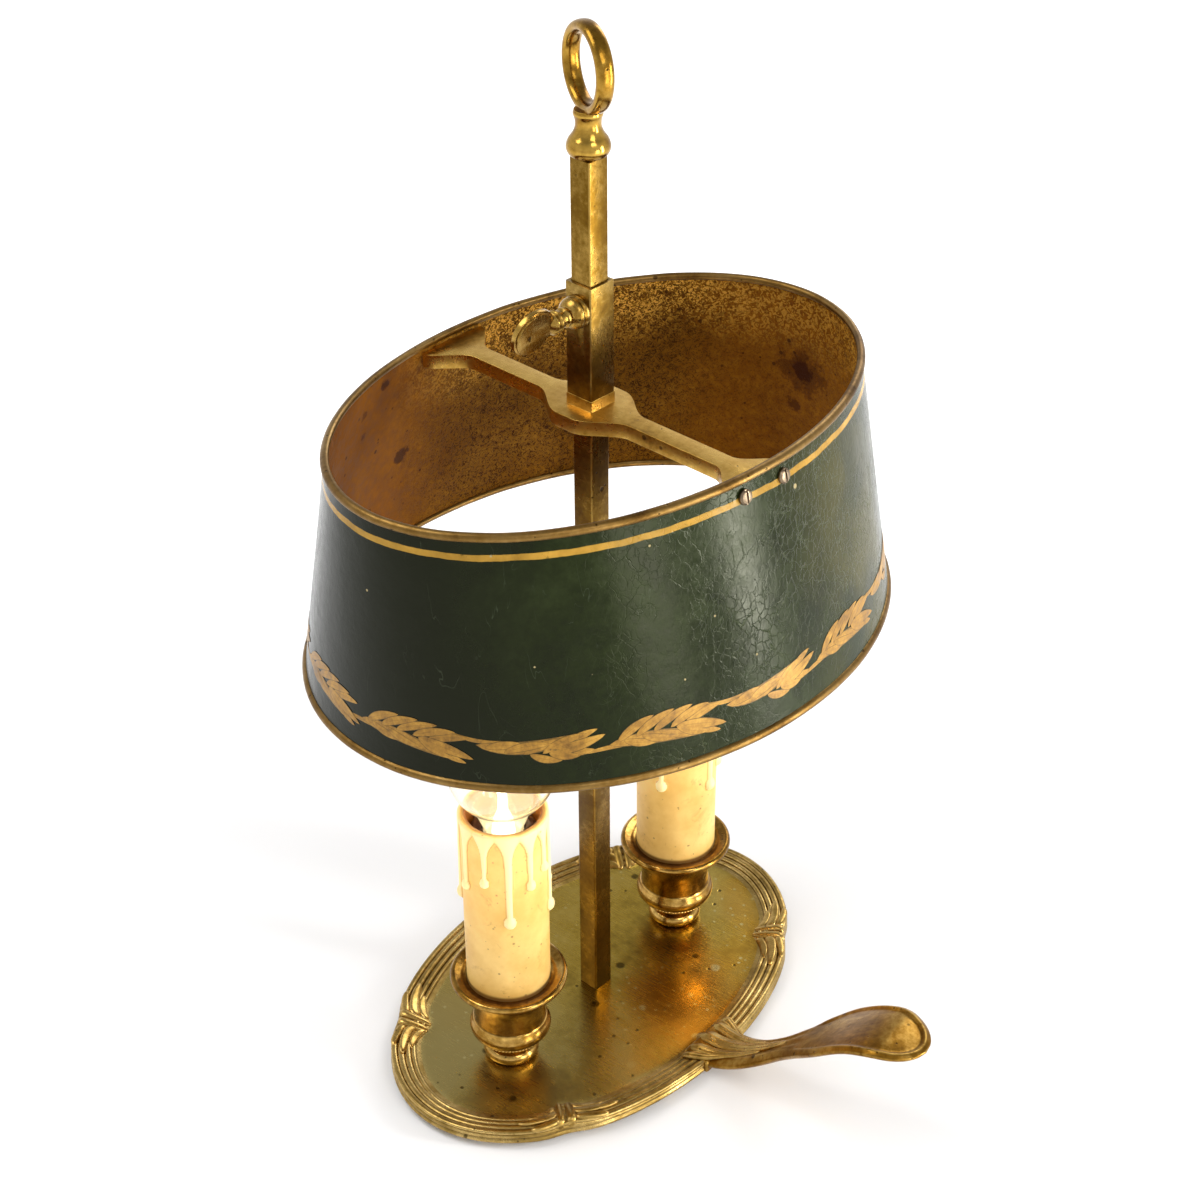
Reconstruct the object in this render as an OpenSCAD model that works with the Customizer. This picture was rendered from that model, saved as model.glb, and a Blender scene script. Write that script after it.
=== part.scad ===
// Bouillotte lamp: an oval brass tray with a handle, a square stem with a ring on top, two
// candle lights, and an oval sheet-metal shade on a cross arm that slides on the stem and is
// clamped by a thumbscrew.  Millimetres.  The origin is on the table under the stem's axis;
// X runs through both candles, the handle points to -Y, +Z is up.

/* [Tray] */
// Length of the oval tray over its rim
tray_length = 221; // [200:1:250]
// Width of the oval tray over its rim
tray_width = 144; // [132:1:170]
// Thickness of the tray's floor
floor_t = 1.5; // [1.2:0.1:2.5]
// Width of the reeded rim
rim_w = 12; // [9:0.5:14]
// Height of the rim's crest above the floor
rim_rise = 3; // [2:0.1:5]
// Height of the rim's lower edge above the table
rim_lift = 3; // [2.4:0.1:4]
// Depth of the small nick in the outline at each of the four ribbon ties
tie_nick = 1.6; // [0:0.1:2.5]
// Height of each ribbon tie above the rim
tie_rise = 1; // [0:0.1:2]
// Height of the hollow under the floor, between floor and cover
hollow_h = 3.1; // [3:0.1:6]
// Width of the foot ring under the tray
foot_w = 2.4; // [2:0.1:4]
// Distance of the foot ring from the tray's edge
foot_inset = 13; // [12.5:0.5:18]
// Thickness of the cover plate
cover_t = 1; // [0.8:0.1:2]
// Thickness of the felt
felt_t = 0.9; // [0.5:0.1:2]
// Distance of the cover screws from the tray's ends
cover_screw_inset = 34.5; // [30:0.5:40]
// Distance of the cover screws from the middle, across the tray
cover_screw_y = 20; // [12:1:26]
// Diameter of a cover screw's shank
cover_screw_d = 2.4; // [2:0.1:3]
// Length of a cover screw
cover_screw_len = 3.6; // [3:0.1:3.8]

/* [Handle] */
// Distance from the tray's edge to the handle's tip
handle_reach = 99; // [80:1:120]
// Height of the paddle's top above the floor
handle_rise = 62.5; // [40:0.5:80]
// Width of the paddle
paddle_w = 34; // [24:1:40]
// Width of the handle's neck
neck_w = 16.5; // [10:0.5:20]
// Width of the handle's root, where it is let into the rim
root_w = 26; // [16:1:30]
// Thickness of the handle
handle_t = 5; // [3:0.1:6]

/* [Stem and finial] */
// Side of the square stem
stem_side = 10; // [8:0.5:12]
// Length of the stem above the floor
stem_len = 395; // [370:1:420]
// Turn of the stem, and of all it carries, against the tray, in degrees
head_turn = -4; // [-8:1:8]
// Diameter of the spigot under the stem
spigot_d = 6; // [5:0.5:7]
// Thickness of the nut under the stem
stem_nut_t = 2.1; // [1.8:0.1:2.4]
// Width of the nut under the stem, across its flats
stem_nut_w = 10; // [9:0.5:12]
// Thickness of the washer under the stem
washer_t = 0.6; // [0.4:0.1:0.8]
// Diameter of the washer under the stem
washer_d = 16; // [12:1:22]
// Outer diameter of the finial's ring
ring_od = 33.6; // [28:0.2:40]
// Inner diameter of the finial's ring
ring_id = 25; // [20:0.2:26]
// Depth of the ring along its axis
ring_depth = 6.8; // [5:0.2:8]
// Turn of the ring's plane from the tray's short axis, in degrees
ring_turn = -26; // [-90:1:90]
// Diameter of the finial's ball
ball_d = 16.4; // [14:0.2:18]
// Height of the finial's ball and neck, up to the ring
finial_neck_h = 16.2; // [14:0.2:22]
// Diameter of the finial's neck
finial_neck_d = 9.8; // [8:0.2:12]
// Diameter of the stud between stem and finial
stud_d = 5; // [4:0.5:6]
// Length of the stud
stud_len = 18; // [14:1:20]

/* [Candle cups] */
// Distance of each candle from the tray's end
candle_inset = 52.8; // [48:0.2:57]
// Diameter of a cup's rim
cup_rim_d = 50; // [46:0.5:54]
// Height of a cup
cup_h = 46.8; // [42:0.2:56]
// Diameter of a cup's belly
belly_d = 35; // [33:0.5:38]
// Diameter of a cup's neck
cup_neck_d = 31.4; // [30:0.2:33]
// Diameter of a cup's base bead
cup_base_d = 24; // [22:0.5:28]
// Depth of the seat that holds the candle
seat_depth = 3.5; // [2:0.1:5]
// Diameter of the threaded tube through the cup
tube_d = 10; // [9:0.5:11]
// Bore of the threaded tube
tube_bore = 7; // [6.6:0.1:7.6]
// Diameter of the tube's flange under the floor
flange_d = 16; // [13:0.5:20]
// Thickness of that flange
flange_t = 1; // [0.8:0.1:1.2]
// Thickness of the ring nut inside the cup
cup_nut_t = 2.5; // [2:0.1:4]
// Diameter of that ring nut
cup_nut_d = 17; // [14:0.5:22]

/* [Candles and lampholders] */
// Outer diameter of a candle sleeve
candle_d = 35.6; // [34:0.2:38]
// Wall of a candle sleeve
candle_wall = 2.5; // [1.5:0.1:3]
// Length of a candle sleeve
candle_len = 91.5; // [84:0.5:100]
// Height of a lampholder's foot above the floor
holder_lift = 79; // [74:0.5:82]
// Diameter of a lampholder
holder_d = 27; // [25:0.5:29]
// Length of a lampholder
holder_len = 46.5; // [46:0.5:50]
// Wall of the screw shell inside a lampholder
shell_t = 0.7; // [0.4:0.1:0.8]
// Diameter of one insulated lead
lead_d = 1.8; // [1.4:0.1:1.9]
// Distance between the two leads of a pair
lead_gap = 2.6; // [2.2:0.1:3]

/* [Bulbs] */
// Diameter of the glass globe
globe_d = 45; // [40:0.5:48]
// Length of the bulb from the contact tip to the globe's middle
globe_lift = 55.5; // [54:0.5:60]
// Thickness of the glass
glass_t = 0.6; // [0.4:0.1:1]
// Diameter of the screw cap
cap_d = 13.9; // [13:0.1:14.2]
// Diameter of the filament's ring
filament_ring_d = 14; // [8:0.5:16]

/* [Shade] */
// Length of the shade at its top edge
shade_top_l = 242; // [220:1:260]
// Width of the shade at its top edge
shade_top_w = 162; // [150:1:176]
// Length of the shade at its bottom edge
shade_bottom_l = 262; // [240:1:290]
// Width of the shade at its bottom edge
shade_bottom_w = 207; // [180:1:220]
// Height of the shade
shade_h = 101; // [90:1:115]
// Thickness of the sheet
sheet_t = 0.8; // [0.5:0.1:1.2]
// Diameter of the beaded edges
edge_d = 3.4; // [2.8:0.1:4.2]
// Offset of the shade from the stem along its length
shade_shift_x = 3; // [-5:0.5:5]
// Offset of the shade from the stem across its length
shade_shift_y = -3.5; // [-5:0.5:5]
// Diameter of a shade screw's head
screw_head_d = 6; // [5:0.2:7]
// Diameter of a shade screw's shank
screw_d = 3; // [2.5:0.1:3.4]
// Distance between the two screws of a foot
screw_pitch = 21; // [16:0.5:24]

/* [Sliding carriage] */
// Height of the cross arm's underside above the floor
arm_lift = 289.5; // [200:0.5:300]
// Thickness of the cross arm
arm_t = 6; // [5:0.2:8]
// Distance from the arm's top up to the shade's top edge
arm_drop = 5; // [4:0.5:10]
// Width of the arm at its narrow parts
arm_w = 8.8; // [7:0.2:12]
// Width of the lens-shaped plate round the stem
plate_w = 30; // [26:1:36]
// Width of the feet that meet the shade
arm_foot_w = 33; // [30:1:42]
// Outer side of the square sliding sleeve
sleeve_side = 13; // [12.4:0.2:15]
// Length of the sleeve above the arm's collar
sleeve_len = 46.5; // [44:0.5:52]
// Side of the square collar on the arm
collar_side = 13.4; // [12.8:0.2:16]
// Height of that collar
collar_h = 4.5; // [3:0.1:8]
// Gap between stem and sleeve on each side
slide_gap = 0.1; // [0.05:0.01:0.2]
// Height of the thumbscrew's axis above the collar
thumb_lift = 36; // [25:0.5:37]

/* [Thumbscrew] */
// Diameter of the domed boss on the sleeve
boss_d = 13; // [11:0.2:13]
// Height of the boss
boss_h = 6.5; // [5:0.1:8]
// Diameter of the threaded shank
shank_d = 5; // [4:0.2:6]
// Length of the neck between boss and collars
thumb_neck = 4.5; // [3:0.1:7]
// Diameter of the two collars
thumb_collar_d = 9; // [7.5:0.1:11]
// Length of the flat oval head
thumb_head_l = 20; // [16:0.5:26]
// Width of the flat oval head
thumb_head_w = 19; // [14:0.5:24]
// Thickness of the head
thumb_head_t = 3.2; // [2.4:0.1:4]
// Turn of the head at rest, in degrees
thumb_turn = -16; // [-90:1:90]

/* [Hidden] */

$fn = 64;
fit = 0.03;          // radial clearance of a plain fit
seat = 0.05;         // gap between faces that are only laid together
eps = 0.01;          // overlap that makes one solid of two
oval_steps = 72;     // facets round the shade
rim_steps = 96;      // facets round the tray

// Heights of the tray's layers.
cover_z = felt_t;
hollow_z = cover_z + cover_t;
under_z = hollow_z + hollow_h;
floor_z = under_z + floor_t;
crest_z = floor_z + rim_rise;

half_l = tray_length/2;
half_w = tray_width/2;
candle_x = half_l - candle_inset;

// ---------- helpers ----------

function smooth(t) = let (u = min(1, max(0, t))) u*u*(3 - 2*u);
function mix(a, b, t) = a + (b - a)*t;
function arc(cx, cy, r, from, to, n) =
    [for (i = [0 : n]) let (t = mix(from, to, i/n)) [cx + r*cos(t), cy + r*sin(t)]];
function unit(v) = v/norm(v);

// Skin over a list of rows of points.  Each row is a closed ring; the rows form a tube with
// two end caps, or close on themselves when loop is true.
module skin(rows, loop = false) {
    n = len(rows);
    m = len(rows[0]);
    sides = [for (i = [0 : (loop ? n : n - 1) - 1], j = [0 : m - 1])
        let (i2 = (i + 1) % n, j2 = (j + 1) % m)
        [i*m + j, i*m + j2, i2*m + j2, i2*m + j]];
    caps = loop ? [] : [[for (j = [m - 1 : -1 : 0]) j], [for (j = [0 : m - 1]) (n - 1)*m + j]];
    polyhedron([for (r = rows) each r], concat(sides, caps), convexity = 10);
}

module at_floor() { translate([0, 0, floor_z]) children(); }
module at_candle(side) { translate([side*candle_x, 0, floor_z]) children(); }
module head() { rotate([0, 0, head_turn]) children(); }

module square_bar(side, h, bevel) {
    s = side/2;
    c = s - bevel;
    linear_extrude(h) polygon([[s, -c], [s, c], [c, s], [-c, s], [-s, c], [-s, -c], [-c, -s],
        [c, -s]]);
}

// ---------- tray ----------

tie_angle = 45;      // place of the ribbon ties on the oval
tie_spread = 5;      // half width of a tie on the oval, in degrees
function tie_at(t) = let (d = abs(t % 90 - tie_angle)) exp(-pow(d/tie_spread, 2));
function rim_point(t, inset) = let (
        n = unit([cos(t)/half_l, sin(t)/half_w]),
        nick = tie_nick*tie_at(t)*max(0, 1 - inset/foot_inset))
    [half_l*cos(t), half_w*sin(t)] - n*(inset + nick);
function oval_outline(inset) =
    [for (i = [0 : rim_steps - 1]) rim_point(i*360/rim_steps, inset)];

// Rim section from the floor outwards: share of the rim's width, share of its height.
reeds = [[1.3, 0], [1, 0.1], [0.87, 0.5], [0.76, 0.35], [0.63, 0.73], [0.52, 0.55],
    [0.38, 0.93], [0.27, 0.75], [0.14, 1], [0.04, 0.78], [0, 0.3]];
rim_edge = 1;        // rounding of the rim's lower edge
rim_web = 0.3;       // rise of the rim's underside towards the foot ring

function rim_ring(inset, z, lift) = [for (i = [0 : rim_steps - 1])
    let (t = i*360/rim_steps, p = rim_point(t, inset)) [p[0], p[1], z + lift*tie_at(t)]];
function tray_rows() = concat(
    [for (r = reeds) rim_ring(r[0]*rim_w, floor_z + r[1]*rim_rise, r[1]*tie_rise)],
    [rim_ring(0, rim_lift + rim_edge, 0), rim_ring(rim_edge, rim_lift, 0),
     rim_ring(foot_inset, rim_lift + rim_web, 0), rim_ring(foot_inset, hollow_z, 0),
     rim_ring(foot_inset + foot_w, hollow_z, 0), rim_ring(foot_inset + foot_w, under_z, 0)]);

cover_screws_at = [for (x = [-1, 1], y = [-1, 1])
    [x*(half_l - cover_screw_inset), y*cover_screw_y]];
pillar_d = 6.4;      // pillars that take the cover screws
pillar_skin = 0.5;   // metal left above a pillar's hole
gland_w = 10;        // width of the cord gland
gland_slot_w = 5.2;  // flat slot for the cord
gland_slot_h = 2.2;
cord_arch_w = 7;     // arch under the rim where the cord leaves
root_depth = 12;     // depth of the handle's seat in the rim
lip_depth = 6;       // how far the seat is cut past the rim

module tray() {
    color("darkkhaki") difference() {
        union() {
            skin(tray_rows());
            for (p = cover_screws_at) translate([p[0], p[1], hollow_z])
                cylinder(h = hollow_h + floor_t/3, d = pillar_d);
        }
        for (p = cover_screws_at) translate([p[0], p[1], hollow_z - 1])
            cylinder(h = hollow_h + floor_t - pillar_skin + 1, d = cover_screw_d + 2*fit);
        translate([0, 0, under_z - 1]) cylinder(h = floor_t + 2, d = spigot_d + 2*fit);
        for (s = [-1, 1]) translate([s*candle_x, 0, under_z - 1])
            cylinder(h = floor_t + 2, d = tube_d + 2*fit);
        translate([-root_w/2, -half_w - lip_depth, 0])
            cube([root_w, root_depth + lip_depth, crest_z + 10]);
        translate([-gland_w/2, half_w - foot_inset - foot_w - 1, 0])
            cube([gland_w, foot_w + 1, under_z]);
        translate([-cord_arch_w/2, half_w - foot_inset - 1, 0])
            cube([cord_arch_w, foot_inset + 2, under_z]);
    }
}

// ---------- handle ----------

rise_start = 0.06;   // share of the reach where the rise starts
rise_end = 0.88;     // share of the reach where the rise ends
neck_at = 0.42;      // share of the reach where the neck is
paddle_at = 0.58;    // share of the reach where the paddle is full
tip_at = 0.78;       // share of the reach where the tip starts to round
handle_steps = 26;
handle_sides = 14;
root_y = -half_w + root_depth;
handle_len = handle_reach + root_depth;
handle_top = floor_z + 2.8;

function handle_path(s) = [0, root_y - s*handle_len,
    handle_top + (floor_z + handle_rise - handle_top)
        *smooth((s - rise_start)/(rise_end - rise_start))];
function handle_half(s) = let (
        tip = s > tip_at ? sqrt(max(0.0004, 1 - pow((s - tip_at)/(1 - tip_at), 2))) : 1)
    tip*(s < neck_at ? mix(root_w, neck_w, smooth(s/neck_at))
        : mix(neck_w, paddle_w, smooth((s - neck_at)/(paddle_at - neck_at))))/2;
function handle_ring(s) = let (
        d = unit(handle_path(s + 0.001) - handle_path(s - 0.001)),
        up = [0, d[2], -d[1]],
        w = handle_half(s),
        t = handle_t/2*(s > tip_at ? max(0.15, w/paddle_w*2) : 1),
        c = handle_path(s) - up*handle_t/2)
    [for (k = [handle_sides - 1 : -1 : 0]) let (a = k*360/handle_sides,
        x = w*sign(cos(a))*pow(abs(cos(a)), 0.7), h = t*sign(sin(a))*pow(abs(sin(a)), 0.7))
        c + [x, 0, 0] + up*h];

module handle() {
    // The path's stations crowd towards the tip, where the outline is round.
    stations = [for (i = [0 : handle_steps]) let (u = i/handle_steps) sin(90*u)*0.35 + u*0.65];
    color("darkgoldenrod") union() {
        skin([for (s = stations) handle_ring(mix(0.05, 1, s))]);
        translate([-root_w/2, -half_w - 1, rim_lift])
            cube([root_w, root_depth + 1, handle_top + 0.4 - rim_lift]);
    }
}

// ---------- underside ----------

cover_sink = 2.6;    // radius of a cover screw's countersunk head
felt_margin = 1;     // how far the felt stays inside the cover

module base_cover() {
    color("dimgray") translate([0, 0, cover_z]) difference() {
        linear_extrude(cover_t) polygon(oval_outline(foot_inset));
        for (p = cover_screws_at) translate([p[0], p[1], -eps])
            cylinder(h = cover_t + 2*eps, r1 = cover_sink + seat, r2 = cover_screw_d/2 + seat);
    }
}

module base_felt() {
    color("darkgreen") linear_extrude(felt_t) polygon(oval_outline(foot_inset + felt_margin));
}

module cover_screws() {
    color("gray") for (p = cover_screws_at) translate([p[0], p[1], cover_z]) {
        r = cover_screw_d/2;
        rotate_extrude() polygon([[0, 0], [cover_sink, 0], [r, cover_t], [r, cover_screw_len],
            [0, cover_screw_len]]);
    }
}

module cord_gland() {
    y0 = half_w - foot_inset - foot_w;
    zc = hollow_z + hollow_h/2;
    r = gland_slot_h/2;
    color("black") difference() {
        translate([-gland_w/2 + seat, y0, hollow_z])
            cube([gland_w - 2*seat, foot_w - seat, hollow_h - seat]);
        for (s = [-1, 1]) translate([s*(gland_slot_w/2 - r), y0 - 1, zc]) rotate([-90, 0, 0])
            cylinder(h = foot_w + 2, r = r);
        translate([-gland_slot_w/2 + r, y0 - 1, zc - r])
            cube([gland_slot_w - 2*r, foot_w + 2, gland_slot_h]);
    }
}

block_y = 30;        // place of the terminal block under the floor
block_size = [22, 9, 2.9];
hole_depth = 4;      // how far a lead enters the block
lead_bend = 2.4;     // radius of a lead's bend up into the tube
plate_z = 12.2;      // height of the terminal plates in a lampholder

// A lead runs straight from the block to its candle and turns up on the candle's axis.
lead_run = norm([candle_x, block_y]);
lead_angle = atan2(-block_y, candle_x);
lead_z = hollow_z + lead_d/2 + seat;
lead_top = floor_z + holder_lift + plate_z;
lead_start = block_size[0]/2/cos(lead_angle) - hole_depth;
module lead_place(side) {
    translate([0, block_y, 0]) rotate([0, 0, side > 0 ? lead_angle : 180 - lead_angle])
        children();
}

module terminal_block() {
    color("ivory") difference() {
        translate([-block_size[0]/2, block_y - block_size[1]/2, hollow_z])
            cube(block_size);
        for (side = [-1, 1], s = [-1, 1]) lead_place(side)
            translate([lead_start, s*lead_gap/2, lead_z]) rotate([0, 90, 0])
            cylinder(h = 20, d = lead_d + 2*seat);
        for (s = [-1, 1])
            translate([s*lead_gap/2, block_y + block_size[1]/2 - 3, lead_z])
            rotate([-90, 0, 0]) cylinder(h = 4, d = lead_d + 2*seat);
    }
}

module lead(side) {
    bend = [for (a = [0 : 15 : 90])
        [lead_run - lead_bend + lead_bend*sin(a), lead_z + lead_bend*(1 - cos(a)), a]];
    path = concat([[lead_start + seat, lead_z, 0]], bend, [[lead_run, lead_top - seat, 90]]);
    color(side > 0 ? "saddlebrown" : "sienna") lead_place(side) for (s = [-1, 1])
        skin([for (p = path) [for (k = [7 : -1 : 0]) let (a = k*45,
            u = lead_d/2*cos(a), v = lead_d/2*sin(a))
            [p[0] - v*sin(p[2]), s*lead_gap/2 + u, p[1] + v*cos(p[2])]]]);
}

// ---------- stem and finial ----------

stem_bevel = 0.5;
stud_hole = 10;      // depth of the stud's hole in the stem

module stem() {
    color("peru") head() difference() {
        union() {
            at_floor() square_bar(stem_side, stem_len, stem_bevel);
            translate([0, 0, under_z - washer_t - stem_nut_t])
                cylinder(h = washer_t + stem_nut_t + floor_t + eps, d = spigot_d);
        }
        translate([0, 0, floor_z + stem_len - stud_hole])
            cylinder(h = stud_hole + 1, d = stud_d + 2*fit);
    }
}

module stem_washer() {
    color("silver") translate([0, 0, under_z - washer_t]) difference() {
        cylinder(h = washer_t, d = washer_d);
        translate([0, 0, -1]) cylinder(h = washer_t + 2, d = spigot_d + 2*fit);
    }
}

module stem_nut() {
    color("silver") translate([0, 0, under_z - washer_t - stem_nut_t]) difference() {
        cylinder(h = stem_nut_t, d = stem_nut_w/cos(30), $fn = 6);
        translate([0, 0, -1]) cylinder(h = stem_nut_t + 2, d = spigot_d + 2*fit);
    }
}

ring_z = finial_neck_h + ring_od/2;
ball_h = 8.4;        // height of the flattened ball

module ring_section() {
    c = (ring_od + ring_id)/4;
    a = (ring_od - ring_id)/4;
    polygon([for (i = [0 : 15]) let (t = i*22.5)
        [c + a*sign(cos(t))*pow(abs(cos(t)), 0.8),
         ring_depth/2*sign(sin(t))*pow(abs(sin(t)), 0.8)]]);
}

module finial() {
    r = ball_d/2;
    n = finial_neck_d/2;
    k = ball_h/2;
    color("goldenrod") head() translate([0, 0, floor_z + stem_len]) difference() {
        union() {
            rotate_extrude() polygon(concat([[0, 0]],
                [for (t = [-75 : 15 : 60]) [r - k + k*cos(t), k*sin(75) + k*sin(t)]],
                [[n + 0.9, k*2 + 1.3], [n, k*2 + 3.6], [n + 0.1, finial_neck_h - 1.4],
                 [n + 0.5, finial_neck_h + 0.4], [0, finial_neck_h + 1]]));
            translate([0, 0, ring_z]) rotate([0, 0, ring_turn - head_turn])
                rotate([0, 90, 0]) rotate_extrude() ring_section();
        }
        translate([0, 0, -1]) cylinder(h = stud_len - stud_hole + 1.5, d = stud_d + 2*fit);
    }
}

module finial_stud() {
    color("gray") head() translate([0, 0, floor_z + stem_len - stud_hole + seat])
        cylinder(h = stud_len, d = stud_d);
}

// ---------- candle lights ----------

cup_floor = 16;      // height of the cup's inner floor
cup_wall = 1.8;      // wall of the cup's neck
rim_t = 3.4;         // thickness of the cup's rim
dish_drop = 1.8;     // fall of the rim's top towards the candle

module cup(side) {
    h = cup_h;
    rr = cup_rim_d/2;
    bb = belly_d/2;
    nn = cup_neck_d/2;
    fb = cup_base_d/2;
    ww = fb - 3.4;
    cr = candle_d/2 + seat*4;
    seat_z = h - dish_drop - seat_depth;
    color("goldenrod") at_candle(side) rotate_extrude() polygon(concat(
        [[tube_d/2 + fit, 0]],
        arc(fb - 3.4, 3.6, 3.4, -75, 75, 8),
        [[ww, 8], [ww - 0.2, 9.5], [ww + 0.9, 11], [bb - 3.6, 12], [bb - 2.9, 12.6],
         [bb - 2.9, 13.4], [bb - 1.6, 14.2], [bb - 0.4, 15.8], [bb, 17.5], [bb - 0.3, 19.2],
         [bb - 1, 20.8], [nn + 0.2, 22.2], [nn - 0.3, 25], [nn - 0.4, 30],
         [nn + 0.2, seat_z - 4], [nn + 1.8, seat_z - 1.6], [cr + 2.4, h - rim_t - 0.4],
         [rr - 1, h - rim_t]],
        arc(rr - rim_t/2, h - rim_t/2, rim_t/2, -60, 110, 8),
        [[rr - rim_t, h - 0.7], [cr + 1, h - dish_drop + 0.2], [cr, h - dish_drop],
         [cr, seat_z], [nn - cup_wall, seat_z], [nn - cup_wall, cup_floor + 2],
         [nn - cup_wall - 2, cup_floor], [tube_d/2 + fit, cup_floor]]));
}

tube_top = holder_lift + 8;

module tube(side) {
    z0 = -floor_t - flange_t;
    color("silver") at_candle(side) rotate_extrude() polygon([[tube_bore/2, z0],
        [flange_d/2, z0], [flange_d/2, z0 + flange_t], [tube_d/2, z0 + flange_t],
        [tube_d/2, tube_top], [tube_bore/2, tube_top]]);
}

module cup_nuts() {
    color("silver") for (side = [-1, 1]) at_candle(side) translate([0, 0, cup_floor])
        difference() {
            cylinder(h = cup_nut_t, d = cup_nut_d);
            translate([0, 0, -1]) cylinder(h = cup_nut_t + 2, d = tube_d + 2*fit);
        }
}

// Wax drips: direction in degrees, length, radius.
drips = [[8, 20, 1.5], [40, 34, 1.7], [75, 26, 1.5], [118, 38, 1.6], [165, 24, 1.4],
    [205, 42, 1.7], [238, 26, 1.6], [262, 46, 1.8], [292, 40, 1.6], [322, 30, 1.7]];
drip_sink = 0.4;     // how far a drip's axis lies inside the sleeve's face

module candle(side) {
    r = candle_d/2;
    z0 = cup_h - dish_drop - seat_depth;
    z1 = z0 + candle_len;
    color("moccasin") at_candle(side) union() {
        difference() {
            translate([0, 0, z0]) cylinder(h = candle_len, r = r);
            translate([0, 0, z0 - 1]) cylinder(h = candle_len + 2, r = r - candle_wall);
        }
        for (d = drips) rotate([0, 0, side > 0 ? d[0] : d[0] + 31])
            translate([r - drip_sink, 0, z1 - 3 - d[1]]) {
                cylinder(h = d[1], r = d[2]*0.8, $fn = 24);
                sphere(r = d[2]*1.15, $fn = 24);
            }
    }
}

holder_bore = cap_d/2 + 0.35 + shell_t + seat;   // bore for the screw shell
mouth_r = cap_d/2 + 2.3;                         // wider mouth for the cap's flange
chamber_z = 9.5;     // wiring chamber of the lampholder
web_z = 14;          // insulating web between wiring and contacts
web_t = 4;
shell_z = 20;        // the screw shell's lower end
mouth_z = 38.5;      // the screw shell's upper end
leg_w = 3;           // width of the contact legs
leg_t = 0.7;         // thickness of the contact legs
pin_x = 4;           // place of the centre contact's leg
tip_gap = 0.1;       // gap between centre contact and bulb at rest

module at_holder(side) {
    at_candle(side) translate([0, 0, holder_lift])
        rotate([0, 0, (side > 0 ? lead_angle : 180 - lead_angle) + 90]) children();
}

module lampholder(side) {
    r = holder_d/2;
    color("#2a1a12") at_holder(side) difference() {
        rotate_extrude() polygon([[tube_d/2 + fit, 0], [r - 0.8, 0], [r, 0.8],
            [r, holder_len - 1.2], [r - 1.2, holder_len], [mouth_r, holder_len],
            [mouth_r, mouth_z], [holder_bore, mouth_z], [holder_bore, web_z + web_t],
            [0, web_z + web_t], [0, web_z], [9, web_z], [9, chamber_z],
            [tube_d/2 + fit, chamber_z]]);
        translate([holder_bore - leg_t - 2*seat, -leg_w/2 - seat, web_z - 1])
            cube([leg_t + 2*seat, leg_w + 2*seat, web_t + 2]);
        translate([-pin_x - seat, -leg_w/2 - seat, web_z - 1])
            cube([leg_t + 2*seat, leg_w + 2*seat, web_t + 2]);
    }
}

module screw_shell(side) {
    r = holder_bore - seat;
    color("gold") at_holder(side) union() {
        translate([0, 0, shell_z]) difference() {
            cylinder(h = mouth_z - shell_z, r = r);
            translate([0, 0, -1]) cylinder(h = mouth_z - shell_z + 2, r = r - shell_t);
        }
        translate([r - leg_t, -leg_w/2, plate_z]) cube([leg_t, leg_w, shell_z + 1 - plate_z]);
        translate([0.5, -leg_w/2, plate_z]) cube([r - leg_t/2 - 0.5, leg_w, web_z - plate_z - seat]);
    }
}

module centre_contact(side) {
    tip_z = bulb_base - holder_lift;
    color("gold") at_holder(side) union() {
        translate([-pin_x, -leg_w/2, plate_z]) cube([leg_t, leg_w, tip_z - 1 - plate_z]);
        translate([-pin_x, -leg_w/2, plate_z])
            cube([pin_x - 0.5, leg_w, web_z - plate_z - seat]);
        translate([-pin_x, -leg_w/2, tip_z - 1.6]) cube([pin_x + 2, leg_w, leg_t]);
        translate([0, 0, tip_z - 1.6]) cylinder(h = 1.6 - tip_gap, r = 1.4);
    }
}

// ---------- bulbs ----------

bulb_base = holder_lift + 20.5;      // height of the bulb's tip above the floor
globe_r = globe_d/2;
neck_r = cap_d/2 + 0.45;             // radius of the glass where it enters the cap
cap_top = globe_lift - globe_r*1.378;   // heights above the bulb's tip
cap_seat = cap_top - cap_d*0.144;

module at_bulb(side) { at_candle(side) translate([0, 0, bulb_base]) children(); }

module bulb_cap(side) {
    r = cap_d/2;
    color("silver") at_bulb(side) rotate_extrude() polygon([[0, 0], [2.4, 0], [2.9, 1.4],
        [r - 1.4, 3.6], [r, 4], [r, cap_top - 5], [r + 1.5, cap_top - 4],
        [r + 1.5, cap_top], [neck_r + seat, cap_top], [neck_r + seat, cap_seat - seat],
        [0, cap_seat - seat]]);
}

// The glass from the cap up to the globe; shares of the globe's radius.
throat = [[neck_r, cap_seat], [neck_r, cap_top],
    [neck_r + globe_r*0.058, cap_top + globe_r*0.107],
    [globe_r*0.462, globe_lift - globe_r*1.067], [globe_r*0.524, globe_lift - globe_r*0.916]];
function glass_line(t) = let (r = globe_r - t, c = globe_lift)
    concat([for (p = throat) [p[0] - t, p[1]]], arc(0, c, r, -54, 90, 24));
function reversed(v) = [for (i = [len(v) - 1 : -1 : 0]) v[i]];

module bulb_glass(side) {
    color("lightyellow", 0.5) at_bulb(side) rotate_extrude()
        polygon(concat(glass_line(0), reversed(glass_line(glass_t))));
}

mount_h = 22;        // height of the glass mount inside the bulb
mount_r = 5;
filament_r = 0.35;
filament_lift = 2;   // height of the filament's ring above the globe's middle

module bulb_mount(side) {
    color("white", 0.6) at_bulb(side) translate([0, 0, cap_seat - seat]) rotate_extrude()
        polygon([[0, 0], [mount_r, 0], [mount_r - 0.6, 5], [2.2, 11], [1.8, mount_h - 1],
            [1.2, mount_h], [0, mount_h]]);
}

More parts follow.
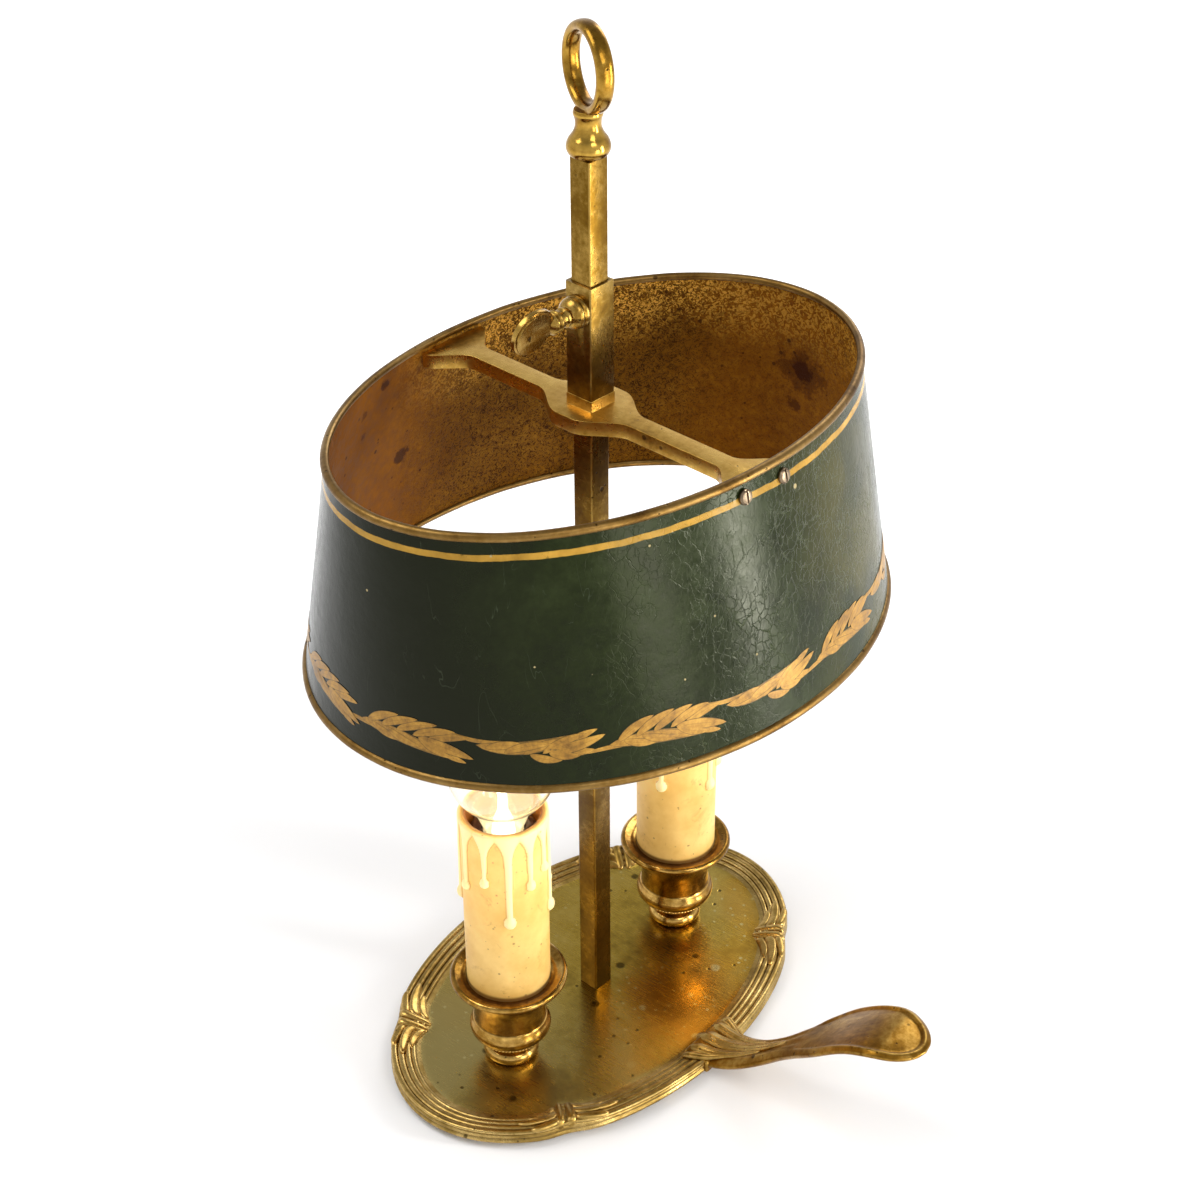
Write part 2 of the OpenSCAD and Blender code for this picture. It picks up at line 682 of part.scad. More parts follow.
module filament(side) {
    z0 = cap_seat + mount_h - 3;
    z1 = globe_lift + filament_lift;
    x0 = 1.9;
    x1 = filament_ring_d/2;
    tilt = atan2(x1 - x0, z1 - z0);
    color("orange") at_bulb(side) union() {
        for (s = [0, 180]) rotate([0, 0, s]) translate([x0, 0, z0]) rotate([0, tilt, 0])
            cylinder(h = norm([x1 - x0, z1 - z0]), r = filament_r, $fn = 16);
        translate([0, 0, z1]) rotate_extrude() translate([x1, 0])
            circle(r = filament_r, $fn = 16);
    }
}

// ---------- shade ----------

arm_z = floor_z + arm_lift;
shade_top_z = arm_z + arm_t + arm_drop;
shade_bottom_z = shade_top_z - shade_h;

// Half axes of the shade's outer face at a height.
function shade_half(z) = let (u = (shade_top_z - z)/shade_h)
    [mix(shade_top_l, shade_bottom_l, u)/2, mix(shade_top_w, shade_bottom_w, u)/2];
function shade_point(t, z, inset) = let (h = shade_half(z))
    [shade_shift_x + (h[0] - inset)*cos(t), shade_shift_y + (h[1] - inset)*sin(t), z];
function shade_sweep(section) = [for (i = [0 : oval_steps - 1])
    [for (p = section) shade_point(i*360/oval_steps, p[1], p[0])]];

edge_grip = 1;       // how deep the sheet sits in its edge beads
foot_tilt = atan((shade_bottom_w - shade_top_w)/2/shade_h);
screw_z = arm_z + arm_t/2;

module on_wall(x, side) {
    h = shade_half(screw_z);
    y = h[1]*sqrt(1 - pow((x - shade_shift_x)/h[0], 2));
    translate([x, shade_shift_y + side*y, screw_z])
        rotate([0, 0, atan2(side*y/h[1]/h[1], (x - shade_shift_x)/h[0]/h[0])])
        rotate([0, 90 - foot_tilt, 0]) children();
}

module at_screws() {
    for (side = [-1, 1], s = [-1, 1]) on_wall(s*screw_pitch/2, side) children();
}

module shade_panel() {
    z0 = shade_bottom_z + edge_d - edge_grip;
    z1 = shade_top_z - edge_d + edge_grip;
    color("#1f3d2b") head() difference() {
        skin(shade_sweep([[0, z0], [sheet_t, z0], [sheet_t, z1], [0, z1]]), true);
        at_screws() translate([0, 0, -3]) cylinder(h = 6, d = screw_d + 0.4);
    }
}

// Section of an edge bead with the slot that takes the sheet; up is 1 at the top edge and
// -1 at the bottom edge.
function edge_section(zc, up) = let (r = edge_d/2, c = sheet_t/2, a0 = acos((c + seat)/r),
        z_slot = zc - up*(r - edge_grip))
    concat([for (i = [0 : 10]) let (a = mix(-a0, a0 + 180, i/10))
            [c - r*cos(a), zc + up*r*sin(a)]],
        [[sheet_t + seat, z_slot], [-seat, z_slot]]);

module shade_top_edge() {
    color("goldenrod") head() skin(shade_sweep(edge_section(shade_top_z - edge_d/2, 1)), true);
}

module shade_bottom_edge() {
    color("goldenrod") head()
        skin(shade_sweep(edge_section(shade_bottom_z + edge_d/2, -1)), true);
}

head_h = 1.9;        // height of a shade screw's head
screw_len = 5;       // length of a shade screw under its head
screw_room = 0.5;    // what a screw's hole is deeper than the screw
slot_w = 0.8;        // driver slot
wall_gap = 0.2;      // gap between a screw's head and the curved sheet

module shade_screws() {
    r = screw_head_d/2;
    color("dimgray") head() at_screws() translate([0, 0, wall_gap]) difference() {
        rotate_extrude() polygon([[0, -screw_len], [screw_d/2, -screw_len], [screw_d/2, 0],
            [r, 0], [r, head_h*0.5], [r - 0.7, head_h*0.9], [r - 1.6, head_h], [0, head_h]]);
        translate([-r - 1, -slot_w/2, head_h - 0.8]) cube([2*r + 2, slot_w, 2]);
    }
}

// ---------- sliding carriage ----------

plate_half = 24;     // half length of the lens-shaped plate along the arm
foot_run = 17;       // length over which the arm widens into a foot
collar_z = arm_z + arm_t;
sleeve_z = collar_z + collar_h;
thumb_z = sleeve_z + thumb_lift;
bore_side = stem_side + 2*slide_gap;

// Half width of the arm at a distance from the stem.
function arm_half(y, reach) = y < plate_half
    ? mix(plate_w, arm_w, smooth((y - 4)/(plate_half - 4)))/2
    : mix(arm_w, arm_foot_w, smooth((y - reach + foot_run)/foot_run))/2;

facet_sag = 0.15;    // how far the sheet's facets lie inside the true oval
// Where a foot meets the sheet's inner face: y at a given x, on one side of the stem.
function arm_wall(x, side) = let (clear = sheet_t + seat + facet_sag,
        h = shade_half(collar_z) - [clear, clear])
    shade_shift_y + side*h[1]*sqrt(1 - pow((x - shade_shift_x)/h[0], 2));
arm_steps = 36;
foot_steps = 12;
function arm_side(sx) = [for (i = [-arm_steps : arm_steps])
    let (side = i < 0 ? -1 : 1, reach = abs(arm_wall(sx*arm_foot_w/2, side)),
        y = reach*abs(i)/arm_steps)
    [sx*arm_half(y, reach), side*y]];
function arm_end(side) = [for (i = [1 : foot_steps - 1])
    let (x = mix(side, -side, i/foot_steps)*arm_foot_w/2) [x, arm_wall(x, side)]];

module cross_arm() {
    color("gold") head() difference() {
        union() {
            translate([0, 0, arm_z]) linear_extrude(arm_t) polygon(concat(arm_side(1),
                arm_end(1), reversed(arm_side(-1)), arm_end(-1)));
            translate([0, 0, collar_z - eps]) square_bar(collar_side, collar_h + eps, 0.4);
        }
        translate([0, 0, arm_z - 1]) square_bar(bore_side, arm_t + collar_h + 2, 0.2);
        at_screws() translate([0, 0, -screw_len - screw_room])
            cylinder(h = 2*screw_len, d = screw_d + 2*fit);
    }
}

module at_thumb() {
    translate([-sleeve_side/2, 0, thumb_z]) rotate([0, -90, 0]) children();
}

module slide_sleeve() {
    color("peru") head() difference() {
        translate([0, 0, sleeve_z]) square_bar(sleeve_side, sleeve_len, 0.5);
        translate([0, 0, sleeve_z - 1]) square_bar(bore_side, sleeve_len + 2, 0.2);
        at_thumb() translate([0, 0, -sleeve_side/2]) cylinder(h = sleeve_side/2 + 1,
            d = shank_d + 4*fit);
    }
}

module screw_boss() {
    r = boss_d/2;
    color("darkgoldenrod") head() at_thumb() rotate_extrude()
        polygon([[shank_d/2 + 2*fit, 0], [r, 0], [r, boss_h*0.16], [r - 0.5, boss_h*0.34],
            [r - 0.2, boss_h*0.46], [r - 0.6, boss_h*0.64], [r - 1.5, boss_h*0.82],
            [r - 2.6, boss_h*0.95], [shank_d/2 + 0.5, boss_h], [shank_d/2 + 2*fit, boss_h]]);
}

thumb_run = 0.6;     // gap between the screw's first shoulder and the boss
tip_clear = 0.06;    // gap between the screw's tip and the stem at rest

module thumbscrew() {
    n = shank_d/2 + 0.7;
    c = thumb_collar_d/2;
    z0 = -(sleeve_side - stem_side)/2 + tip_clear;
    z1 = boss_h + thumb_run;
    z2 = z1 + thumb_neck;
    head_z = z2 + 2.2 + thumb_head_l/2;
    color("darkgoldenrod") head() at_thumb() rotate([0, 0, thumb_turn]) union() {
        rotate_extrude() polygon([[0, z0], [shank_d/2, z0], [shank_d/2, z1], [n + 0.7, z1],
            [n + 0.7, z1 + 0.9], [n, z1 + 1.4], [n, z2 - 0.6], [c - 0.4, z2 - 0.4],
            [c, z2 + 0.3], [c - 0.4, z2 + 1], [n + 0.3, z2 + 1.4], [n + 0.3, z2 + 1.9],
            [c - 0.5, z2 + 2.1], [c + 0.1, z2 + 2.8], [c - 0.5, z2 + 3.5], [2, z2 + 4.6],
            [0, z2 + 4.6]]);
        translate([0, 0, head_z]) rotate([90, 0, 0]) oval_disc();
    }
}

head_round = 0.9;    // width of the head's rounded rim

module oval_disc() {
    a = thumb_head_l/2;
    b = thumb_head_w/2;
    t = thumb_head_t/2;
    outline = [for (i = [0 : 47]) [b*cos(i*7.5), a*sin(i*7.5)]];
    inner = [for (p = outline) p*(1 - head_round/a)];
    translate([0, 0, -t*0.55]) linear_extrude(t*1.1) polygon(outline);
    translate([0, 0, -t]) linear_extrude(2*t) polygon(inner);
}

// ---------- assembly ----------

tray();
handle();
base_cover();
base_felt();
cover_screws();
cord_gland();
terminal_block();
lead(-1);  // lead_a
lead(1);  // lead_b
stem();
stem_washer();
stem_nut();
finial();
finial_stud();
cup(-1);  // cup_a
cup(1);  // cup_b
tube(-1);  // tube_a
tube(1);  // tube_b
cup_nuts();
candle(-1);  // candle_a
candle(1);  // candle_b
lampholder(-1);  // lampholder_a
lampholder(1);  // lampholder_b
screw_shell(-1);  // screw_shell_a
screw_shell(1);  // screw_shell_b
centre_contact(-1);  // centre_contact_a
centre_contact(1);  // centre_contact_b
bulb_cap(-1);  // bulb_cap_a
bulb_cap(1);  // bulb_cap_b
bulb_glass(-1);  // bulb_glass_a
bulb_glass(1);  // bulb_glass_b
bulb_mount(-1);  // bulb_mount_a
bulb_mount(1);  // bulb_mount_b
filament(-1);  // filament_a
filament(1);  // filament_b
slide_sleeve();
screw_boss();
thumbscrew();
cross_arm();
shade_panel();
shade_top_edge();
shade_bottom_edge();
shade_screws();
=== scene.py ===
import math

import bmesh
import bpy
from mathutils import Matrix, Vector, noise


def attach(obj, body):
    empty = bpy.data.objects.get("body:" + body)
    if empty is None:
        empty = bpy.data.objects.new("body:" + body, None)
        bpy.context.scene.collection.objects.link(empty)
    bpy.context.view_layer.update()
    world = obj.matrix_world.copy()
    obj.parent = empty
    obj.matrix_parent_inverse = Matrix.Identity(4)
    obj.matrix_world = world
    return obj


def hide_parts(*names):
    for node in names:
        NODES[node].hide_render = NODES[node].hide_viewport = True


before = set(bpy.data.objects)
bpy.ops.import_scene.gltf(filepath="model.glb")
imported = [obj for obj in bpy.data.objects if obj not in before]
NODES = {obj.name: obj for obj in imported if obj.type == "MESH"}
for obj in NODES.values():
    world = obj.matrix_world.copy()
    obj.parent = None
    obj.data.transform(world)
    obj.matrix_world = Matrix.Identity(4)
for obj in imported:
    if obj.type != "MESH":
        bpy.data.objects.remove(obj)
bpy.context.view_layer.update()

MM = 0.001
scene = bpy.context.scene
HEAD_TURN = math.radians(-4.0)
CANDLE_X = 57.7
FLOOR_Z = 6.5
BULB_BASE = FLOOR_Z + 99.5


# ---------- small maths ----------

def mix(a, b, t):
    return a + (b - a) * t


def clamp(value, low=0.0, high=1.0):
    return max(low, min(high, value))


def smooth(t):
    t = clamp(t)
    return t * t * (3 - 2 * t)


def bump(x, centre, width):
    return math.exp(-((x - centre) / width) ** 2)


def curve_through(points, steps=4, sharp=()):
    """Points on a smooth curve through the given ones; sharp names those kept as corners."""
    out = []
    for i in range(len(points) - 1):
        p1, p2 = points[i], points[i + 1]
        p0 = points[i - 1] if i > 0 and i not in sharp else p1
        p3 = points[i + 2] if i + 2 < len(points) and i + 1 not in sharp else p2
        for k in range(steps):
            t = k / steps
            out.append(tuple(
                0.5 * (2 * b + (c - a) * t + (2 * a - 5 * b + 4 * c - d) * t * t
                       + (3 * b - a - 3 * c + d) * t ** 3)
                for a, b, c, d in zip(p0, p1, p2, p3)))
    return out + [tuple(points[-1])]


# ---------- making meshes ----------

def turned(profile, steps=96, closed=False):
    """A profile of (radius, height) in mm, spun round Z."""
    bm = bmesh.new()
    verts = [bm.verts.new((r * MM, 0, z * MM)) for r, z in profile]
    pairs = list(zip(verts, verts[1:])) + ([(verts[-1], verts[0])] if closed else [])
    edges = [bm.edges.new(pair) for pair in pairs]
    bmesh.ops.spin(bm, geom=verts + edges, cent=(0, 0, 0), axis=(0, 0, 1),
                   angle=math.tau, steps=steps, use_merge=True)
    bmesh.ops.remove_doubles(bm, verts=bm.verts, dist=1e-6)
    bmesh.ops.recalc_face_normals(bm, faces=bm.faces)
    return bm


def lofted(rings):
    """A skin over rings of points in mm, extruded ring by ring."""
    bm = bmesh.new()
    tag = bm.verts.layers.int.new("tag")
    bmesh.ops.create_circle(bm, segments=len(rings[0]), radius=1)
    bm.verts.ensure_lookup_table()
    for i, v in enumerate(bm.verts):
        v[tag] = i
        v.co = Vector(rings[0][i]) * MM
    edges = list(bm.edges)
    ends = [edges]
    for ring in rings[1:]:
        grown = bmesh.ops.extrude_edge_only(bm, edges=edges)["geom"]
        for v in grown:
            if isinstance(v, bmesh.types.BMVert):
                v.co = Vector(ring[v[tag]]) * MM
        fresh = {v for v in grown if isinstance(v, bmesh.types.BMVert)}
        edges = [e for e in grown if isinstance(e, bmesh.types.BMEdge)
                 and e.verts[0] in fresh and e.verts[1] in fresh]
    ends.append(edges)
    for end in ends:
        bmesh.ops.edgeloop_fill(bm, edges=end)
    bmesh.ops.recalc_face_normals(bm, faces=bm.faces)
    return bm


def bar(length, width, height, rings=16, segments=14):
    """A bar with rounded ends, length along X, to be bent into place."""
    bm = bmesh.new()
    bmesh.ops.create_uvsphere(bm, u_segments=segments, v_segments=rings, radius=1)
    bmesh.ops.rotate(bm, verts=bm.verts, matrix=Matrix.Rotation(math.pi / 2, 3, "Y"))
    for v in bm.verts:
        u = v.co.x
        if abs(u) < 0.999:
            fuller = math.sqrt((1 - u ** 4) / (1 - u * u))
            v.co.y *= fuller
            v.co.z *= fuller
    bmesh.ops.scale(bm, verts=bm.verts,
                    vec=(length / 2 * MM, width / 2 * MM, height * MM))
    return bm


def warp(bm, place):
    """Moves every vertex by a function of its place, both in mm."""
    for v in bm.verts:
        v.co = Vector(place(*(v.co / MM))) * MM
    return bm


def join(parts):
    """One bmesh out of several."""
    whole = bmesh.new()
    for bm in parts:
        mesh = bpy.data.meshes.new("part")
        bm.to_mesh(mesh)
        bm.free()
        whole.from_mesh(mesh)
        bpy.data.meshes.remove(mesh)
    return whole


def solid_copy(node, bevel=0.0, segments=3, angle=25):
    """A CAD node's shape with merged faces and rounded edges."""
    bm = bmesh.new()
    bm.from_mesh(NODES[node].data)
    bmesh.ops.remove_doubles(bm, verts=bm.verts, dist=2e-6)
    bmesh.ops.dissolve_limit(bm, angle_limit=math.radians(1.5), verts=bm.verts, edges=bm.edges)
    if bevel:
        sharp = [e for e in bm.edges if len(e.link_faces) == 2
                 and e.calc_face_angle(0) > math.radians(angle)]
        bmesh.ops.bevel(bm, geom=sharp, offset=bevel * MM, offset_type="OFFSET",
                        segments=segments, profile=0.5, affect="EDGES", material=-1,
                        clamp_overlap=True)
    return bm


def mark_wear(bm, size=1.0):
    """Stores how much each vertex stands out: 1 on a ridge, 0 in a groove, 0.5 on the flat."""
    wear = bm.verts.layers.float.get("wear") or bm.verts.layers.float.new("wear")
    bm.normal_update()
    for v in bm.verts:
        total = length = 0.0
        for e in v.link_edges:
            if len(e.link_faces) == 2:
                total += e.calc_face_angle_signed(0.0)
                length += e.calc_length()
        curve = total / length if length else 0.0
        v[wear] = 0.5 + 0.5 * math.tanh(curve * MM * size)


def finished(name, bm, material, body, replaces=(), wear=1.0, smooth_angle=35):
    """Makes the piece's object, sets its material, says what it rides on and hides the CAD nodes it
    stands for.
    """
    if wear:
        mark_wear(bm, wear)
    mesh = bpy.data.meshes.new(name)
    bm.to_mesh(mesh)
    bm.free()
    mesh.materials.append(material)
    mesh.polygons.foreach_set("use_smooth", [True] * len(mesh.polygons))
    mesh.set_sharp_from_angle(angle=math.radians(smooth_angle))
    piece = bpy.data.objects.new(name, mesh)
    scene.collection.objects.link(piece)
    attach(piece, body)
    if replaces:
        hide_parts(*replaces)
    return piece


def rounded(piece, levels=1):
    """Finishes a piece with a subdivision surface."""
    modifier = piece.modifiers.new("rounded", "SUBSURF")
    modifier.levels = modifier.render_levels = levels
    return piece


# ---------- materials ----------

class Look:
    """A procedural material on object coordinates, built up step by step."""

    def __init__(self, name, turn=0.0):
        self.material = bpy.data.materials.new(name)
        self.material.use_nodes = True
        self.tree = self.material.node_tree
        self.shader = self.tree.nodes["Principled BSDF"]
        coordinates = self.add("ShaderNodeTexCoord")
        mapping = self.add("ShaderNodeMapping", vector_type="POINT")
        mapping.inputs["Rotation"].default_value = (0, 0, turn)
        self.link(coordinates.outputs["Object"], mapping.inputs["Vector"])
        self.place = mapping.outputs["Vector"]

    def add(self, kind, **settings):
        node = self.tree.nodes.new(kind)
        for key, value in settings.items():
            setattr(node, key, value)
        return node

    def link(self, source, target):
        self.tree.links.new(source, target)

    def put(self, socket, value):
        if isinstance(value, bpy.types.NodeSocket):
            self.link(value, socket)
        elif isinstance(value, (tuple, list)) and len(value) == 3 and socket.type == "RGBA":
            socket.default_value = (*value, 1)
        else:
            socket.default_value = value

    def math(self, operation, a, b=0.5):
        node = self.add("ShaderNodeMath", operation=operation)
        self.put(node.inputs[0], a)
        self.put(node.inputs[1], b)
        return node.outputs[0]

    def times(self, a, b):
        return self.math("MULTIPLY", a, b)

    def plus(self, a, b):
        return self.math("ADD", a, b)

    def minus(self, a, b):
        return self.math("SUBTRACT", a, b)

    def larger(self, a, b):
        return self.math("MAXIMUM", a, b)

    def size_of(self, a):
        return self.math("ABSOLUTE", a)

    def step(self, value, low, high, out_low=0.0, out_high=1.0):
        """A smooth step from out_low to out_high as the value goes from low to high."""
        node = self.add("ShaderNodeMapRange", interpolation_type="SMOOTHSTEP")
        for socket, number in zip(node.inputs[:5], (value, low, high, out_low, out_high)):
            self.put(socket, number)
        return node.outputs[0]

    def stretched(self, scale):
        node = self.add("ShaderNodeVectorMath", operation="MULTIPLY")
        self.link(self.place, node.inputs[0])
        node.inputs[1].default_value = scale
        return node.outputs[0]

    def noise(self, scale, detail=4.0, rough=0.55, warp=0.0, place=None):
        node = self.add("ShaderNodeTexNoise")
        self.link(place or self.place, node.inputs["Vector"])
        node.inputs["Scale"].default_value = scale
        node.inputs["Detail"].default_value = detail
        node.inputs["Roughness"].default_value = rough
        node.inputs["Distortion"].default_value = warp
        return node.outputs["Fac"]

    def bent(self, scale, by, place=None):
        """The place, pushed about by noise."""
        wobble = self.add("ShaderNodeTexNoise")
        self.link(self.place, wobble.inputs["Vector"])
        wobble.inputs["Scale"].default_value = scale
        wobble.inputs["Detail"].default_value = 3
        shift = self.add("ShaderNodeVectorMath", operation="SCALE")
        self.link(wobble.outputs["Color"], shift.inputs[0])
        shift.inputs["Scale"].default_value = by
        total = self.add("ShaderNodeVectorMath", operation="ADD")
        self.link(place or self.place, total.inputs[0])
        self.link(shift.outputs[0], total.inputs[1])
        return total.outputs[0]

    def cracks(self, scale, place):
        """Distance to the nearest edge of a net of cells."""
        node = self.add("ShaderNodeTexVoronoi", feature="DISTANCE_TO_EDGE")
        self.link(place, node.inputs["Vector"])
        node.inputs["Scale"].default_value = scale
        return node.outputs["Distance"]

    def spots(self, scale, size, share, place=None):
        """Scattered round spots: 1 inside a spot; share is how many cells have one."""
        node = self.add("ShaderNodeTexVoronoi", feature="F1")
        self.link(place or self.place, node.inputs["Vector"])
        node.inputs["Scale"].default_value = scale
        pick = self.add("ShaderNodeSeparateColor")
        self.link(node.outputs["Color"], pick.inputs[0])
        chosen = self.math("LESS_THAN", pick.outputs[0], share)
        inside = self.step(node.outputs["Distance"], size, size * 0.55)
        return self.times(chosen, inside)

    def near(self, x, y, z, radius):
        """1 close to a point in mm, 0 beyond the radius, with a ragged edge."""
        node = self.add("ShaderNodeVectorMath", operation="DISTANCE")
        self.link(self.place, node.inputs[0])
        node.inputs[1].default_value = (x * MM, y * MM, z * MM)
        ragged = self.times(self.minus(self.noise(160, 5, 0.7), 0.5),
                           radius * 3.0 * MM)
        return self.step(self.plus(node.outputs["Value"], ragged),
                         radius * MM, radius * 0.55 * MM)

    def axis(self, index):
        if not hasattr(self, "split"):
            self.split = self.add("ShaderNodeSeparateXYZ")
            self.link(self.place, self.split.inputs[0])
        return self.split.outputs[index]

    def attribute(self, name="wear"):
        node = self.add("ShaderNodeAttribute", attribute_name=name)
        return node.outputs["Fac"]

    def blend(self, factor, a, b):
        node = self.add("ShaderNodeMix", data_type="RGBA")
        self.put(node.inputs[0], factor)
        self.put(node.inputs[6], a)
        self.put(node.inputs[7], b)
        return node.outputs[2]

    def ramp(self, value, *stops):
        node = self.add("ShaderNodeValToRGB")
        self.put(node.inputs[0], value)
        elements = node.color_ramp.elements
        while len(elements) < len(stops):
            elements.new(0.5)
        for element, (position, color) in zip(elements, stops):
            element.position = position
            element.color = (*color, 1)
        return node.outputs[0]

    def relief(self, height, depth, strength):
        node = self.add("ShaderNodeBump")
        node.inputs["Strength"].default_value = strength
        node.inputs["Distance"].default_value = depth
        self.put(node.inputs["Height"], height)
        return node.outputs[0]

    def surface(self, color, roughness, metallic=0.0, normal=None, **others):
        self.put(self.shader.inputs["Base Color"], color)
        self.put(self.shader.inputs["Roughness"], roughness)
        self.put(self.shader.inputs["Metallic"], metallic)
        if normal is not None:
            self.link(normal, self.shader.inputs["Normal"])
        for key, value in others.items():
            self.put(self.shader.inputs[key.replace("_", " ")], value)
        return self.material


FLECK_COLOR = (0.60, 0.50, 0.22)
BRASS_RELIEF = 0.00018


def aged_brass(name, bright, body, dark, dirt=0.45, wear=0.0, rough=(0.22, 0.42), grain=1.0,
               specks=0.5, turn=0.0, edges=None, flecks=0.0, warm=None, pale=None):
    """Old brass: dark patina in the hollows, bright worn ridges, pits, specks and scratches."""
    look = Look(name, turn=turn)
    clouds = look.noise(38 * grain, 5, 0.6, 0.6)
    fine = look.noise(420 * grain, 4, 0.6)
    mottled = look.plus(look.times(clouds, 0.7), look.times(fine, 0.3))
    color = look.ramp(mottled, (0.30, dark), (0.30 + 0.32 * dirt, body), (0.72, bright))
    if warm is not None:
        patch = look.step(look.noise(17 * grain, 3, 0.5), 0.50, 0.66)
        color = look.blend(look.times(patch, 0.6), color, warm)
    if pale is not None:
        # Greyer tarnish towards the left end.
        left = look.times(look.step(look.axis(0), 0.01, -0.075),
                          look.step(clouds, 0.34, 0.60, 0.4, 0.9))
        color = look.blend(left, color, pale)
    if wear:
        stands_out = look.attribute()
        color = look.blend(look.step(stands_out, 0.45, 0.08, 0, wear), color, dark)
        ridge = look.times(look.step(stands_out, 0.56, 0.85),
                           look.step(fine, 0.30, 0.52, 0.25, 1.0))
        color = look.blend(look.times(ridge, wear), color, bright)
    if edges is not None:
        half, width = edges
        square = look.math("MINIMUM", look.size_of(look.axis(0)),
                           look.size_of(look.axis(1)))
        rim = look.step(square, (half - width) * MM, (half - width * 0.35) * MM)
        rim = look.times(rim, look.step(clouds, 0.34, 0.52, 0.35, 1.0))
        color = look.blend(rim, color, bright)
    pits = look.spots(150 * grain, 0.20, specks * 0.22)
    tiny = look.spots(430 * grain, 0.24, specks * 0.16)
    spotted = look.larger(pits, tiny)
    color = look.blend(look.times(spotted, 0.8), color,
                       tuple(c * 0.35 for c in dark))
    if flecks:
        bent = look.bent(60, 0.004)
        fleck = look.larger(look.spots(95, 0.26, flecks * 0.16, bent),
                            look.spots(330, 0.30, flecks * 0.16, bent))
        fleck = look.times(fleck, look.step(look.noise(16, 2), 0.46, 0.60))
        color = look.blend(look.times(fleck, 0.75), color, FLECK_COLOR)
    scratches = look.noise(90, 6, 0.7, 0.0, look.stretched((18, 1.2, 6)))
    roughness = look.step(look.plus(look.times(scratches, 0.4), look.times(mottled, 0.6)),
                          0.65, 0.35, rough[0], rough[1])
    height = look.minus(look.times(fine, 0.5), look.times(spotted, 0.7))
    height = look.plus(height, look.times(clouds, 0.5))
    return look.surface(color, roughness, 1.0, look.relief(height, BRASS_RELIEF, 0.55))


BRASS = {
    "tray_floor": aged_brass("tray floor brass", (0.58, 0.42, 0.105), (0.37, 0.245, 0.036),
                             (0.105, 0.060, 0.005), dirt=0.5, rough=(0.18, 0.34), specks=0.7,
                             flecks=1.6, warm=(0.54, 0.235, 0.015), grain=0.5,
                             pale=(0.42, 0.33, 0.12)),
    "tray": aged_brass("rim brass", (0.68, 0.48, 0.18), (0.30, 0.19, 0.048),
                       (0.075, 0.042, 0.006), dirt=0.5, wear=0.95, specks=0.4),
    "tied": aged_brass("tie brass", (0.66, 0.44, 0.14), (0.29, 0.175, 0.036),
                       (0.075, 0.038, 0.005), dirt=0.45, wear=0.9, specks=0.2),
    "handle": aged_brass("handle brass", (0.56, 0.35, 0.085), (0.225, 0.108, 0.012),
                         (0.075, 0.030, 0.002), dirt=0.55, wear=0.95, specks=0.8,
                         rough=(0.26, 0.42)),
    "polished": aged_brass("polished brass", (0.55, 0.34, 0.066), (0.25, 0.128, 0.015),
                           (0.085, 0.034, 0.003), dirt=0.45, wear=0.8, rough=(0.14, 0.28),
                           specks=0.25),
    "cup": aged_brass("cup brass", (0.78, 0.50, 0.15), (0.25, 0.125, 0.017),
                      (0.060, 0.024, 0.002), dirt=0.5, wear=0.95, rough=(0.14, 0.28),
                      specks=0.3),
    "stem": aged_brass("stem brass", (0.42, 0.26, 0.062), (0.155, 0.080, 0.008),
                       (0.075, 0.032, 0.002), dirt=0.6, rough=(0.22, 0.38), specks=0.5,
                       turn=-HEAD_TURN, edges=(5.0, 0.8)),
    "sleeve": aged_brass("sleeve brass", (0.46, 0.30, 0.085), (0.175, 0.098, 0.015),
                         (0.060, 0.024, 0.002), dirt=0.55, rough=(0.22, 0.38), specks=0.5,
                         turn=-HEAD_TURN, edges=(6.6, 0.8)),
    "fitting": aged_brass("fitting brass", (0.58, 0.38, 0.10), (0.24, 0.13, 0.020),
                          (0.07, 0.03, 0.003), dirt=0.5, wear=0.85, rough=(0.2, 0.34),
                          specks=0.35),
    "arm": aged_brass("arm brass", (0.82, 0.54, 0.14), (0.46, 0.26, 0.042),
                      (0.17, 0.078, 0.007), dirt=0.4, wear=0.9, rough=(0.22, 0.4),
                      specks=0.3),
    "edge": aged_brass("edge brass", (0.66, 0.43, 0.15), (0.34, 0.195, 0.050),
                       (0.065, 0.030, 0.006), dirt=0.5, wear=0.6, rough=(0.3, 0.5),
                       specks=0.9),
    "contact": aged_brass("contact brass", (0.85, 0.62, 0.25), (0.68, 0.46, 0.16),
                          (0.4, 0.24, 0.06), specks=0.1),
}


def steel(name, color, rough):
    look = Look(name)
    cloud = look.noise(160, 5, 0.6)
    shade = look.blend(look.step(cloud, 0.35, 0.65), tuple(c * 0.6 for c in color), color)
    return look.surface(shade, look.step(cloud, 0.3, 0.7, rough + 0.12, rough), 1.0,
                        look.relief(look.noise(900, 4), 0.00008, 0.4))


def moulded(name, color, rough):
    look = Look(name)
    cloud = look.noise(80, 4)
    shade = look.blend(cloud, tuple(c * 0.75 for c in color), tuple(min(1, c * 1.2) for c in color))
    return look.surface(shade, look.step(cloud, 0.3, 0.7, rough, rough + 0.1), 0.0,
                        look.relief(look.noise(700, 3), 0.00008, 0.35))


def felt_look():
    look = Look("felt")
    fibres = look.noise(1600, 6, 0.7, 2.0)
    shade = look.ramp(fibres, (0.3, (0.008, 0.03, 0.018)), (0.7, (0.03, 0.085, 0.05)))
    material = look.surface(shade, 0.95, 0.0, look.relief(fibres, 0.0004, 0.8))
    look.shader.inputs["Sheen Weight"].default_value = 0.4
    return material


SHADE_TOP, SHADE_BOTTOM = 307.0, 206.0
STRIPE_Z, STRIPE_HALF = 298.0, 1.2


